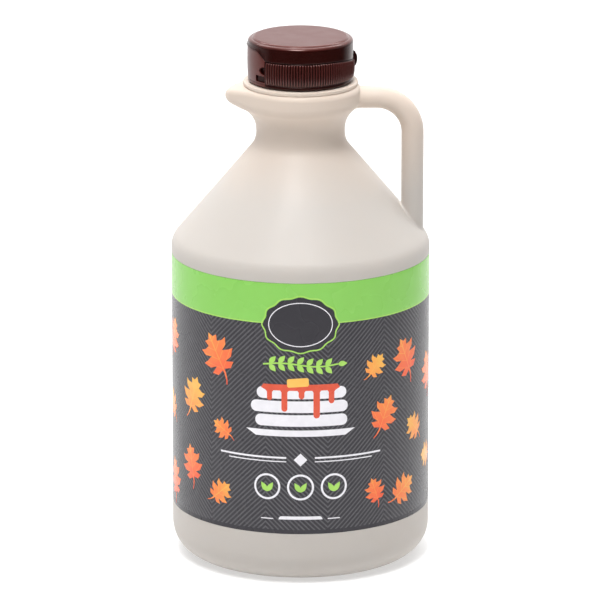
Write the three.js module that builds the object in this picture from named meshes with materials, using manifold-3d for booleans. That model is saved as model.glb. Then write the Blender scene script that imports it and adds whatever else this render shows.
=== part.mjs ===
// A one litre maple syrup jug: a round blow-moulded bottle with a finger handle and a pinched lip,
// a wrap-round label, and a screw-on cap whose lid flips up on a hinge.
// Millimetres. +Z is up, the base stands on z = 0, the lip points along -X and the handle along +X.

import * as THREE from 'three';
import { mergeVertices } from 'three/addons/utils/BufferGeometryUtils.js';
import Module from 'manifold-3d';

const { clamp, degToRad, radToDeg } = THREE.MathUtils;

// Colours and finishes
const FINISHES = {
  bottle: { color: 0xe0d3c6, roughness: 0.45, metalness: 0 },
  label: { color: 0x3f3d42, roughness: 0.55, metalness: 0 },
  cap: { color: 0x35120e, roughness: 0.3, metalness: 0 },
};

// Vertices closer than this are one
const MERGE_TOLERANCE = 1e-4;

// Steps along each rounded stretch of a profile
const STEPS = {
  foot: 5,
  shoulder: 3,
  waist: 4,
  throat: 5,
  nose: 3,
  crown: 3,
  fillet: 3,
  pocket: 8,
  strap: 8,
};

// Bottle body: a straight wall between a rounded foot and a conical shoulder
const BODY_SEGMENTS = 72;
const BODY_RADIUS = 50;
const FOOT_FILLET = 12;
const SHOULDER_CORNER_Z = 125.75;
const SHOULDER_FILLET = 8;
const CONE_ANGLE = 50;

// Label, lying in a shallow recess of the wall
const LABEL_BOTTOM = 20.8;
const LABEL_TOP = 120.7;
const LABEL_THICKNESS = 0.35;
const LABEL_CLEARANCE = 0.1;
const RECESS_DEPTH = 0.4;

// Neck, narrowest at its waist
const WAIST_RADIUS = 17.05;
const WAIST_LOW_Z = 168.2;
const WAIST_HIGH_Z = 168.9;

// Rim at the top of the neck: its section all round, and the longer one at the tip of the lip
const RIM = { throat: 11.5, lean: 50, reach: 23.2, nose: 5, land: 2.85, crown: 2.4, crownAngle: 50 };
const LIP = { throat: 10, lean: 67, reach: 28.9, nose: 2.9, land: 0.3, crown: 2.9, crownAngle: 73 };
const LIP_TIP_RADIUS = 6;

// Groove and collar under the cap, and the neck end inside it
const GROOVE_RADIUS = 21.8;
const GROOVE_Z = 186.8;
const COLLAR_RADIUS = 22.1;
const COLLAR_TOP_Z = 188.4;
const COLLAR_ROUND = 0.35;
const NECK_END_RADIUS = 19;
const NECK_END_Z = 188.5;

// Handle: an oval tube out of the rim, round a bend and down into the shoulder
const HANDLE_ROOT_X = 14;
const HANDLE_TOP_Z = 181.7;
const HANDLE_BEND = 13.8;
const HANDLE_GRIP_X = 43.25;
const HANDLE_FOOT_Z = 122;
const HANDLE_HALF_WIDTH = 4.2;
const HANDLE_HALF_DEPTH = 5;
const HANDLE_STEPS = 30;
const HANDLE_SIDES = 16;

// Cap, in its own frame: thumb panel at -X, hinge at +X, screwed down a little past the lip
const CAP_TURN = 16;
const CAP_BOTTOM_Z = 188.8;
const CAP_BAND_RADIUS = 20.2;
const CAP_BAND_TOP_Z = 190.1;
const CAP_CHAMFER = 0.5;
const RIB_COUNT = 120;
const RIB_ROOT_RADIUS = 20.35;
const RIB_DEPTH = 0.55;
const RIB_BOTTOM_Z = 190.5;
const RIB_TOP_GAP = 0.35;
const PANEL_RADIUS = 20.4;
const PANEL_HALF_ANGLE = 32;

// Line where the lid parts from the base: it arches over the thumb panel and dips at the hinge
const SPLIT_Z = 199;
const SPLIT_GAP = 0.3;
const SPLIT_INNER_RADIUS = 18;
const SPLIT_OUTER_RADIUS = 18.4;
const ARCH_RISE = 3.7;
const ARCH_FLAT = 16;
const ARCH_FOOT = 32;
const DIP_DEPTH = 2.2;
const DIP_SPAN = 75;

// Lid
const LID_SEGMENTS = 90;
const LID_RADIUS = 20.35;
const LID_FILLET = 1.5;
const LID_FILLET_TOP_Z = 205.4;
const LID_CATCH = 0.45;
const LID_CATCH_TOP_Z = 203.8;
const LID_TOP_Z = 206;
const LID_DISC_RADIUS = 18.7;
const LID_DISC_ROUND = 0.3;

// Hinge: a straight bulging strap across the split, with a notch in the lid to clear it
const HINGE_LOW_Z = 193.4;
const HINGE_HIGH_Z = 199.6;
const HINGE_REACH = 21.65;
const HINGE_ROOT_X = 19.6;
const HINGE_HALF_WIDTH = 4.2;
const HINGE_NO_RIBS = 14;

// Pockets beside the thumb panel: a D-shaped one over a square one, with a ridge between
const POCKET_FLOOR_RADIUS = 19.1;
const POCKET_MOUTH_RADIUS = 21.5;
const POCKETS = [
  { from: 23.3, to: 31.4, low: 193.7, high: 196.9, rounded: true },
  { from: 17, to: 31.4, low: 190.6, high: 193.2, rounded: false },
];

const wasm = await Module();
wasm.setup();

/** Points along an arc in the profile plane, angles in degrees from the outward direction. */
function arc(centreRadius, centreZ, radius, fromAngle, toAngle, steps) {
  const points = [];
  for (let i = 0; i <= steps; i += 1) {
    const angle = degToRad(fromAngle + ((toAngle - fromAngle) * i) / steps);
    points.push(new THREE.Vector2(
      centreRadius + radius * Math.cos(angle),
      centreZ + radius * Math.sin(angle),
    ));
  }
  return points;
}

/** Profile points from pairs of radius and height. */
function profile(...pairs) {
  return pairs.map(([radius, z]) => new THREE.Vector2(radius, z));
}

/** A profile turned about the Z axis. */
function turned(points, segments) {
  return new THREE.LatheGeometry(points, segments).rotateX(Math.PI / 2);
}

/** Moves each vertex by a rule that is given the vertex and its angle about Z. */
function warp(geometry, rule) {
  const position = geometry.attributes.position;
  const point = new THREE.Vector3();
  for (let i = 0; i < position.count; i += 1) {
    point.fromBufferAttribute(position, i);
    rule(point, Math.atan2(point.y, point.x));
    position.setXYZ(i, point.x, point.y, point.z);
  }
  return geometry;
}

/** Sets a vertex's distance from the Z axis. */
function setRadius(point, angle, radius) {
  point.x = radius * Math.cos(angle);
  point.y = radius * Math.sin(angle);
}

/** A closed solid from a geometry, with shared vertices merged and slivers on the axis dropped. */
function solid(geometry) {
  const bare = geometry.clone();
  bare.deleteAttribute('normal');
  bare.deleteAttribute('uv');
  const merged = mergeVertices(bare, MERGE_TOLERANCE);
  const triangles = [];
  const index = merged.index.array;
  for (let i = 0; i < index.length; i += 3) {
    const [a, b, c] = index.subarray(i, i + 3);
    if (a !== b && b !== c && c !== a) {
      triangles.push(a, b, c);
    }
  }
  return new wasm.Manifold(new wasm.Mesh({
    numProp: 3,
    vertProperties: new Float32Array(merged.attributes.position.array),
    triVerts: new Uint32Array(triangles),
  }));
}

/** A named mesh of a solid. */
function mesh(name, body, finish) {
  const { numProp, vertProperties, triVerts } = body.getMesh();
  const geometry = new THREE.BufferGeometry();
  const positions = new THREE.BufferAttribute(new Float32Array(vertProperties), numProp);
  geometry.setAttribute('position', positions);
  geometry.setIndex(new THREE.BufferAttribute(new Uint32Array(triVerts), 1));
  geometry.computeVertexNormals();
  const result = new THREE.Mesh(geometry, new THREE.MeshStandardMaterial(finish));
  result.name = name;
  return result;
}

/** The bottle's outline from the middle of its base up to the waist of its neck. */
function bodyProfile() {
  const lean = 90 - CONE_ANGLE;
  const shoulderZ = SHOULDER_CORNER_Z - SHOULDER_FILLET * Math.tan(degToRad(lean / 2));
  const coneSin = Math.sin(degToRad(CONE_ANGLE));
  const coneCos = Math.cos(degToRad(CONE_ANGLE));
  const inset = (WAIST_RADIUS - BODY_RADIUS) * coneSin + (WAIST_LOW_Z - SHOULDER_CORNER_Z) * coneCos;
  const throat = inset / (1 - coneSin);
  const recessRadius = BODY_RADIUS - RECESS_DEPTH;
  return [
    ...profile([0, 0]),
    ...arc(BODY_RADIUS - FOOT_FILLET, FOOT_FILLET, FOOT_FILLET, -90, 0, STEPS.foot),
    ...profile(
      [BODY_RADIUS, LABEL_BOTTOM - LABEL_CLEARANCE],
      [recessRadius, LABEL_BOTTOM - LABEL_CLEARANCE],
      [recessRadius, LABEL_TOP + LABEL_CLEARANCE],
      [BODY_RADIUS, LABEL_TOP + LABEL_CLEARANCE],
    ),
    ...arc(BODY_RADIUS - SHOULDER_FILLET, shoulderZ, SHOULDER_FILLET, 0, lean, STEPS.shoulder),
    ...arc(WAIST_RADIUS + throat, WAIST_LOW_Z, throat, 180 + lean, 180, STEPS.waist),
  ];
}

/** One section of the rim: a hollow throat, a slope that leans out, a round nose and a crown. */
function rimProfile({ throat, lean, reach, nose, land, crown, crownAngle }) {
  const throatArc = arc(WAIST_RADIUS + throat, WAIST_HIGH_Z, throat, 180, 180 - lean, STEPS.throat);
  const slopeStart = throatArc.at(-1);
  const leanAngle = degToRad(lean);
  const slopeEndRadius = reach - nose * (1 - Math.cos(leanAngle));
  const slopeRise = (slopeEndRadius - slopeStart.x) / Math.tan(leanAngle);
  const noseZ = slopeStart.y + slopeRise + nose * Math.sin(leanAngle);
  return [
    ...throatArc,
    ...arc(reach - nose, noseZ, nose, -lean, 0, STEPS.nose),
    ...arc(reach - crown, noseZ + land, crown, 0, crownAngle, STEPS.crown),
  ];
}

/** The collar under the cap, up to the flat end of the neck. */
function collarProfile() {
  return profile(
    [GROOVE_RADIUS, GROOVE_Z],
    [COLLAR_RADIUS, GROOVE_Z + COLLAR_ROUND],
    [COLLAR_RADIUS, COLLAR_TOP_Z - COLLAR_ROUND],
    [COLLAR_RADIUS - COLLAR_ROUND, COLLAR_TOP_Z],
    [NECK_END_RADIUS, COLLAR_TOP_Z],
    [NECK_END_RADIUS, NECK_END_Z],
    [0, NECK_END_Z],
  );
}

/** How far the lip has grown at an angle from its tip: 1 at the tip, 0 where it meets the rim.
 *  In plan the lip is a small tip circle joined to the rim's circle by two tangent lines. */
function lipShare(fromTip) {
  const tipCentre = LIP.reach - LIP_TIP_RADIUS;
  const touch = Math.acos((RIM.reach - LIP_TIP_RADIUS) / tipCentre);
  const tipEdge = Math.atan2(
    LIP_TIP_RADIUS * Math.sin(touch),
    tipCentre + LIP_TIP_RADIUS * Math.cos(touch),
  );
  let reach = RIM.reach;
  if (fromTip < tipEdge) {
    const across = tipCentre * Math.sin(fromTip);
    reach = tipCentre * Math.cos(fromTip) + Math.sqrt(LIP_TIP_RADIUS ** 2 - across ** 2);
  } else if (fromTip < touch) {
    reach = RIM.reach / Math.cos(touch - fromTip);
  }
  return (reach - RIM.reach) / (LIP.reach - RIM.reach);
}

/** The bottle without its handle: the rim's section eased into the lip's section round the lip. */
function bottleShell() {
  const round = turned([...bodyProfile(), ...rimProfile(RIM), ...collarProfile()], BODY_SEGMENTS);
  const lipped = turned([...bodyProfile(), ...rimProfile(LIP), ...collarProfile()], BODY_SEGMENTS);
  const from = round.attributes.position;
  const to = lipped.attributes.position;
  const start = new THREE.Vector3();
  const end = new THREE.Vector3();
  for (let i = 0; i < from.count; i += 1) {
    start.fromBufferAttribute(from, i);
    end.fromBufferAttribute(to, i);
    start.lerp(end, lipShare(Math.abs(Math.atan2(end.y, -end.x))));
    from.setXYZ(i, start.x, start.y, start.z);
  }
  return round;
}

/** The handle's centre line: out from the rim, a quarter bend, then down to the shoulder. */
class HandlePath extends THREE.Curve {
  getPoint(t, target = new THREE.Vector3()) {
    const out = HANDLE_GRIP_X - HANDLE_BEND - HANDLE_ROOT_X;
    const bend = (HANDLE_BEND * Math.PI) / 2;
    const down = HANDLE_TOP_Z - HANDLE_BEND - HANDLE_FOOT_Z;
    const travelled = t * (out + bend + down);
    if (travelled < out) {
      return target.set(HANDLE_ROOT_X + travelled, 0, HANDLE_TOP_Z);
    }
    if (travelled < out + bend) {
      const angle = (travelled - out) / HANDLE_BEND;
      return target.set(
        HANDLE_ROOT_X + out + HANDLE_BEND * Math.sin(angle),
        0,
        HANDLE_TOP_Z - HANDLE_BEND * (1 - Math.cos(angle)),
      );
    }
    return target.set(HANDLE_GRIP_X, 0, HANDLE_TOP_Z - HANDLE_BEND - (travelled - out - bend));
  }
}

function handle() {
  const section = new THREE.Shape();
  section.absellipse(0, 0, HANDLE_HALF_WIDTH, HANDLE_HALF_DEPTH, 0, 2 * Math.PI);
  return new THREE.ExtrudeGeometry(section, {
    extrudePath: new HandlePath(),
    steps: HANDLE_STEPS,
    curveSegments: HANDLE_SIDES / 2,
  });
}

function label() {
  const inner = BODY_RADIUS - RECESS_DEPTH + LABEL_CLEARANCE;
  const outer = inner + LABEL_THICKNESS;
  return turned(profile(
    [inner, LABEL_BOTTOM],
    [outer, LABEL_BOTTOM],
    [outer, LABEL_TOP],
    [inner, LABEL_TOP],
    [inner, LABEL_BOTTOM],
  ), BODY_SEGMENTS);
}

/** Share of the arch over the thumb panel at an angle about the cap's axis. */
function archShare(angle) {
  const fromThumb = 180 - Math.abs(radToDeg(angle));
  const share = clamp((ARCH_FOOT - fromThumb) / (ARCH_FOOT - ARCH_FLAT), 0, 1);
  return Math.sin((Math.PI / 2) * share);
}

/** Height of the split line above SPLIT_Z at an angle about the cap's axis. */
function splitRise(angle) {
  const dipShare = Math.min(Math.abs(radToDeg(angle)) / DIP_SPAN, 1);
  const dip = (DIP_DEPTH * (1 + Math.cos(Math.PI * dipShare))) / 2;
  return ARCH_RISE * archShare(angle) - dip;
}

/** Radius of the base's side: ribs, but for the smooth thumb panel and the hinge. */
function skirtRadius(angle, ribDepth) {
  const fromHinge = Math.abs(radToDeg(angle));
  if (180 - fromHinge < PANEL_HALF_ANGLE) {
    return PANEL_RADIUS;
  }
  if (fromHinge < HINGE_NO_RIBS) {
    return RIB_ROOT_RADIUS;
  }
  const ribs = (fromHinge * RIB_COUNT) / 360;
  return RIB_ROOT_RADIUS + ribDepth * (1 - Math.abs(2 * (ribs - Math.floor(ribs)) - 1));
}

function capSkirt() {
  const ribTopZ = SPLIT_Z - RIB_TOP_GAP;
  const skirt = turned(profile(
    [0, CAP_BOTTOM_Z],
    [CAP_BAND_RADIUS - CAP_CHAMFER, CAP_BOTTOM_Z],
    [CAP_BAND_RADIUS, CAP_BOTTOM_Z + CAP_CHAMFER],
    [CAP_BAND_RADIUS, CAP_BAND_TOP_Z],
    [RIB_ROOT_RADIUS, RIB_BOTTOM_Z],
    [RIB_ROOT_RADIUS, ribTopZ],
    [RIB_ROOT_RADIUS, SPLIT_Z],
    [SPLIT_OUTER_RADIUS, SPLIT_Z],
    [SPLIT_INNER_RADIUS, SPLIT_Z],
    [0, SPLIT_Z],
  ), 2 * RIB_COUNT);
  return warp(skirt, (point, angle) => {
    const radius = Math.hypot(point.x, point.y);
    const onSide = radius > (SPLIT_OUTER_RADIUS + RIB_ROOT_RADIUS) / 2
      && point.z > (CAP_BAND_TOP_Z + RIB_BOTTOM_Z) / 2;
    const onTopEdge = point.z > (ribTopZ + SPLIT_Z) / 2;
    const followsSplit = radius > (SPLIT_INNER_RADIUS + SPLIT_OUTER_RADIUS) / 2;
    if (onSide) {
      setRadius(point, angle, skirtRadius(angle, onTopEdge ? 0 : RIB_DEPTH));
    }
    if (followsSplit && point.z > (RIB_BOTTOM_Z + ribTopZ) / 2) {
      point.z += splitRise(angle);
    }
  });
}

/** A cutter for one pocket, on the given side (1 or -1) of the thumb panel. Seen from outside its
 *  outline starts at the ribs and reaches toward the middle of the panel, its far side rounded or
 *  square. It cuts along the radius at the ribs, so the pocket runs out toward the panel. */
function pocketCutter({ from, to, low, high, rounded }, side) {
  const width = PANEL_RADIUS * degToRad(to - from);
  const half = (high - low) / 2;
  const corners = profile([0, -half], [0, half], [-side * width, half], [-side * width, -half]);
  const bow = arc(0, 0, 1, 90, 270, STEPS.pocket);
  const round = bow.map((point) => new THREE.Vector2(side * width * point.x, half * point.y));
  const cutter = new THREE.ExtrudeGeometry(new THREE.Shape(rounded ? round : corners), {
    depth: POCKET_MOUTH_RADIUS - POCKET_FLOOR_RADIUS,
    bevelEnabled: false,
  });
  const angle = Math.PI + side * degToRad(to);
  const outward = new THREE.Vector3(Math.cos(angle), Math.sin(angle), 0);
  const up = new THREE.Vector3(0, 0, 1);
  const along = new THREE.Vector3().crossVectors(up, outward);
  const placed = new THREE.Matrix4().makeBasis(along, up, outward);
  placed.setPosition(outward.multiplyScalar(POCKET_FLOOR_RADIUS).setZ((low + high) / 2));
  return cutter.applyMatrix4(placed);
}

/** The hinge strap: its bulging section drawn in the XZ plane and run across the cap. */
function hingeStrap() {
  const section = new THREE.Shape();
  section.moveTo(HINGE_ROOT_X, HINGE_LOW_Z);
  section.lineTo(RIB_ROOT_RADIUS, HINGE_LOW_Z);
  section.quadraticCurveTo(
    2 * HINGE_REACH - RIB_ROOT_RADIUS,
    (HINGE_LOW_Z + HINGE_HIGH_Z) / 2,
    RIB_ROOT_RADIUS,
    HINGE_HIGH_Z,
  );
  section.lineTo(HINGE_ROOT_X, HINGE_HIGH_Z);
  const strap = new THREE.ExtrudeGeometry(section, {
    depth: 2 * HINGE_HALF_WIDTH,
    curveSegments: STEPS.strap,
    bevelEnabled: false,
  });
  return strap.rotateX(Math.PI / 2).translate(0, HINGE_HALF_WIDTH, 0);
}

/** The notch in the lid that the hinge strap folds into. */
function hingeNotch() {
  const inner = HINGE_ROOT_X - SPLIT_GAP;
  const outer = HINGE_REACH + SPLIT_GAP;
  const top = HINGE_HIGH_Z + SPLIT_GAP;
  const width = 2 * (HINGE_HALF_WIDTH + SPLIT_GAP);
  const notch = new THREE.BoxGeometry(outer - inner, width, top - HINGE_LOW_Z);
  return notch.translate((inner + outer) / 2, 0, (top + HINGE_LOW_Z) / 2);
}

function lidShell() {
  const underside = SPLIT_Z + SPLIT_GAP;
  const lid = turned([
    ...profile(
      [0, underside],
      [SPLIT_INNER_RADIUS, underside],
      [SPLIT_OUTER_RADIUS, underside],
      [LID_RADIUS, underside],
      [LID_RADIUS, LID_CATCH_TOP_Z],
    ),
    ...arc(LID_RADIUS - LID_FILLET, LID_FILLET_TOP_Z - LID_FILLET, LID_FILLET, 0, 90, STEPS.fillet),
    ...profile(
      [LID_DISC_RADIUS, LID_FILLET_TOP_Z],
      [LID_DISC_RADIUS, LID_TOP_Z - LID_DISC_ROUND],
      [LID_DISC_RADIUS - LID_DISC_ROUND, LID_TOP_Z],
      [0, LID_TOP_Z],
    ),
  ], LID_SEGMENTS);
  return warp(lid, (point, angle) => {
    const radius = Math.hypot(point.x, point.y);
    const onUnderside = point.z < underside + SPLIT_GAP / 2;
    if (onUnderside && radius > (SPLIT_INNER_RADIUS + SPLIT_OUTER_RADIUS) / 2) {
      point.z += splitRise(angle);
    }
    if (onUnderside && radius > (SPLIT_OUTER_RADIUS + LID_RADIUS) / 2) {
      setRadius(point, angle, LID_RADIUS + LID_CATCH * archShare(angle));
    }
  });
}

/** The cap's base: ribbed skirt and hinge strap, less the pockets beside the thumb panel. */
function capBase() {
  let base = solid(capSkirt()).add(solid(hingeStrap()));
  for (const side of [1, -1]) {
    for (const pocket of POCKETS) {
      base = base.subtract(solid(pocketCutter(pocket, side)));
    }
  }
  return base;
}

const cap = new THREE.Group();
cap.rotation.z = degToRad(CAP_TURN);
cap.add(mesh('cap_base', capBase(), FINISHES.cap));
cap.add(mesh('cap_lid', solid(lidShell()).subtract(solid(hingeNotch())), FINISHES.cap));

const jug = new THREE.Group();
jug.add(mesh('bottle', solid(bottleShell()).add(solid(handle())), FINISHES.bottle));
jug.add(mesh('label', solid(label()), FINISHES.label));
jug.add(cap);

export default jug;
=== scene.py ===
"""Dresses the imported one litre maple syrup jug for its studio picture.

Sizes are in millimetres and become metres where a mesh is made. +Z runs up the jug's axis, +X
towards the handle, -X towards the lip and -Y towards the front of the label.
"""

import logging
import math
from dataclasses import dataclass, field
from enum import Enum
from typing import Callable, Optional, Sequence, Union

import bmesh
import bpy
import numpy as np
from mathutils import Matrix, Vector
from mathutils.bvhtree import BVHTree


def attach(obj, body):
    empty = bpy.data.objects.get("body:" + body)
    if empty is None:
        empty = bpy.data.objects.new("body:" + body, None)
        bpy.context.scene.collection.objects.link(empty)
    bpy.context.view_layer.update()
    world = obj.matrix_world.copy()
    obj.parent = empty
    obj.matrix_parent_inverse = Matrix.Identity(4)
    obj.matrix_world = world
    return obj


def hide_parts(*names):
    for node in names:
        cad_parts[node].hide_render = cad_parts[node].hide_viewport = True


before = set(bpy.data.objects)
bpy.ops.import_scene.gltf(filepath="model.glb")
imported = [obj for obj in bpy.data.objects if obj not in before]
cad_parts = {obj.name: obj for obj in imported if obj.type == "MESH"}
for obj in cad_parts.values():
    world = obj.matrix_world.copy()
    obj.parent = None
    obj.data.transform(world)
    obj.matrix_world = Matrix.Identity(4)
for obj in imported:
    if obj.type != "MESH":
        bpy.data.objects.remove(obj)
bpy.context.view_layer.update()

LOG = logging.getLogger("syrup_jug")
MM = 0.001
BODY = "root"

Pair = tuple[float, float]
Triple = tuple[float, float, float]
Colour = tuple[float, float, float]
Socket = bpy.types.NodeSocket

# Values that the meshes carry for their materials
LEAF_TINT = "leaf_tint"
LEAF_ACROSS = "leaf_across"
LEAF_ALONG = "leaf_along"
# Where the cap's base is rougher and painted paler as painted light
MATT_AND_PAINTED_LIGHT = "matt_and_painted_light"

# The range that most of a noise lies in
NOISE_MIDDLE: Pair = (0.3, 0.7)


class Joining(Enum):
    """How one solid is combined with another."""

    UNION = "UNION"
    CUT = "DIFFERENCE"


class Layer(Enum):
    """How far from the jug's axis each printed layer reaches, in millimetres."""

    FOOT = 49.95
    HEM = 50.0
    BAND = 50.005
    BAND_LINE = 50.01
    MOTIF = 50.02
    LAP = 50.03
    OVER_MOTIF = 50.035
    OVER_BADGE = 50.042
    BADGE_OVAL = 50.045


def cosd(degrees: float) -> float:
    """The cosine of an angle in degrees."""
    return math.cos(math.radians(degrees))


def sind(degrees: float) -> float:
    """The sine of an angle in degrees."""
    return math.sin(math.radians(degrees))


def clamp(value: float, low: float = 0.0, high: float = 1.0) -> float:
    """The value held between two limits."""
    return min(max(value, low), high)


def ease(share: float) -> float:
    """A share from 0 to 1 with a soft start and end."""
    share = clamp(share)
    return share * share * (3.0 - 2.0 * share)


def linear(red: int, green: int, blue: int) -> Colour:
    """A screen colour, 0 to 255 a channel, as the shader's linear values.

    Args:
        red: The red channel.
        green: The green channel.
        blue: The blue channel.

    Returns:
        The three linear channels, from 0 to 1.
    """

    def channel(value: int) -> float:
        """One channel's linear value."""
        share = value / 255.0
        return share / 12.92 if share <= 0.04045 else ((share + 0.055) / 1.055) ** 2.4

    return channel(red), channel(green), channel(blue)


def arc(centre: Pair, radius: float, start: float, end: float, steps: int) -> list[Pair]:
    """Points along an arc of a circle.

    Args:
        centre: The circle's centre.
        radius: The circle's radius.
        start: The angle of the first point, in degrees.
        end: The angle of the last point, in degrees.
        steps: How many steps the arc is cut into.

    Returns:
        The points, one more than the steps.
    """
    angles = [start + (end - start) * i / steps for i in range(steps + 1)]
    return [(centre[0] + radius * cosd(a), centre[1] + radius * sind(a)) for a in angles]


def straight(start: Pair, end: Pair, steps: int) -> list[Pair]:
    """Points along a straight line, without its two ends.

    Args:
        start: Where the line starts.
        end: Where the line ends.
        steps: How many steps the line is cut into.

    Returns:
        The points between the ends.
    """
    across, up = end[0] - start[0], end[1] - start[1]
    shares = [i / steps for i in range(1, steps)]
    return [(start[0] + across * share, start[1] + up * share) for share in shares]


def round_angles(
    columns: int, fine_at: Sequence[float] = (), fine: Sequence[float] = ()
) -> np.ndarray:
    """Angles once round the axis, closer together where something fine is.

    Args:
        columns: How many even steps there are.
        fine_at: The angles, in degrees, beside which more are added.
        fine: The distances, in degrees, of those from each of fine_at, on both sides.

    Returns:
        The angles in radians, from -pi up.
    """
    step = 360.0 / columns
    angles = {round(-180.0 + step * i, 6) for i in range(columns)}
    for middle in fine_at:
        for gap in fine:
            angles.update(round((middle + s * gap + 180.0) % 360.0 - 180.0, 6) for s in (-1, 1))
    return np.radians(sorted(angles))


def put(name: str, data: bpy.types.ID) -> bpy.types.Object:
    """Puts an object in the scene, at the origin.

    Args:
        name: The object's name.
        data: Its mesh, light or camera.

    Returns:
        The object.
    """
    obj = bpy.data.objects.new(name, data)
    bpy.context.scene.collection.objects.link(obj)
    return obj


@dataclass
class Shell:
    """A closed surface: vertices in millimetres, and faces that point outwards."""

    vertices: np.ndarray
    faces: list[tuple[int, ...]]

    @classmethod
    def from_rings(cls, rings: np.ndarray, loop: bool = False) -> "Shell":
        """Joins closed rings of points to a surface.

        Args:
            rings: The points, rows by columns by 3: rows go upwards and columns to the left.
            loop: Whether the last ring joins the first. If not, both end rings are filled.

        Returns:
            The closed surface.
        """
        rows, columns = rings.shape[:2]
        vertices = rings.reshape(-1, 3)
        faces: list[tuple[int, ...]] = []
        for i in range(rows if loop else rows - 1):
            low, high = i * columns, ((i + 1) % rows) * columns
            for j in range(columns):
                k = (j + 1) % columns
                faces.append((low + j, low + k, high + k, high + j))
        if not loop:
            ends = np.array([rings[0].mean(axis=0), rings[-1].mean(axis=0)])
            vertices = np.vstack([vertices, ends])
            last, middle = (rows - 1) * columns, rows * columns
            for j in range(columns):
                k = (j + 1) % columns
                faces.append((middle, k, j))
                faces.append((middle + 1, last + j, last + k))
        return cls(vertices, faces)

    def turned(self, degrees: float) -> "Shell":
        """The surface turned to the left about the Z axis.

        Args:
            degrees: The angle it is turned by.

        Returns:
            The turned surface.
        """
        c, s = cosd(degrees), sind(degrees)
        return Shell(self.vertices @ np.array([[c, s, 0], [-s, c, 0], [0, 0, 1]]), self.faces)

    def mesh(self, name: str) -> bpy.types.Mesh:
        """Makes the surface a Blender mesh, in metres.

        Args:
            name: The mesh's name.

        Returns:
            The mesh.
        """
        mesh = bpy.data.meshes.new(name)
        mesh.from_pydata((self.vertices * MM).tolist(), [], self.faces)
        mesh.update()
        return mesh

    def piece(self, name: str) -> bpy.types.Object:
        """Makes the surface an object in the scene.

        Args:
            name: The object's name.

        Returns:
            The object, at the origin.
        """
        return put(name, self.mesh(name))


def settle(obj: bpy.types.Object) -> None:
    """Makes the result of an object's modifiers its own plain mesh, and removes the modifiers.

    Args:
        obj: The object, whose mesh is exchanged.
    """
    graph = bpy.context.evaluated_depsgraph_get()
    mesh = bpy.data.meshes.new_from_object(
        obj.evaluated_get(graph), preserve_all_data_layers=True, depsgraph=graph
    )
    before = obj.data
    obj.modifiers.clear()
    obj.data = mesh
    bpy.data.meshes.remove(before)


def combine(target: bpy.types.Object, tool: bpy.types.Object, joining: Joining) -> None:
    """Adds a solid to another or cuts it away, and removes the tool.

    Args:
        target: The solid that stays.
        tool: The solid that is added or cut away.
        joining: Which of the two is done.
    """
    modifier = target.modifiers.new("combine", "BOOLEAN")
    modifier.operation = joining.value
    modifier.solver = "MANIFOLD"
    modifier.object = tool
    settle(target)
    mesh = tool.data
    bpy.data.objects.remove(tool)
    bpy.data.meshes.remove(mesh)


def mend(obj: bpy.types.Object) -> None:
    """Merges doubled vertices and points every face outwards.

    Args:
        obj: The object, a closed surface.
    """
    work = bmesh.new()
    work.from_mesh(obj.data)
    bmesh.ops.remove_doubles(work, verts=work.verts, dist=1e-7)
    bmesh.ops.recalc_face_normals(work, faces=work.faces)
    work.to_mesh(obj.data)
    work.free()


def dress(obj: bpy.types.Object, material: bpy.types.Material, sharp: float) -> None:
    """Gives an object its material and smooth shading with crisp corners.

    Args:
        obj: The object.
        material: Its only material.
        sharp: The angle between faces, in degrees, past which an edge stays crisp.
    """
    obj.data.materials.clear()
    obj.data.materials.append(material)
    obj.data.shade_smooth()
    obj.data.set_sharp_from_angle(angle=math.radians(sharp))


def enrol(obj: bpy.types.Object, stands_for: Optional[str] = None) -> None:
    """Hangs a piece on the body it rides on, hides the CAD node it stands for, and reports it.

    Args:
        obj: The finished piece.
        stands_for: The CAD node that the piece replaces, if it replaces one.
    """
    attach(obj, BODY)
    if stands_for:
        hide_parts(stands_for)
    obj.data.calc_loop_triangles()
    LOG.info("%s: %d triangles", obj.name, len(obj.data.loop_triangles))


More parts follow.
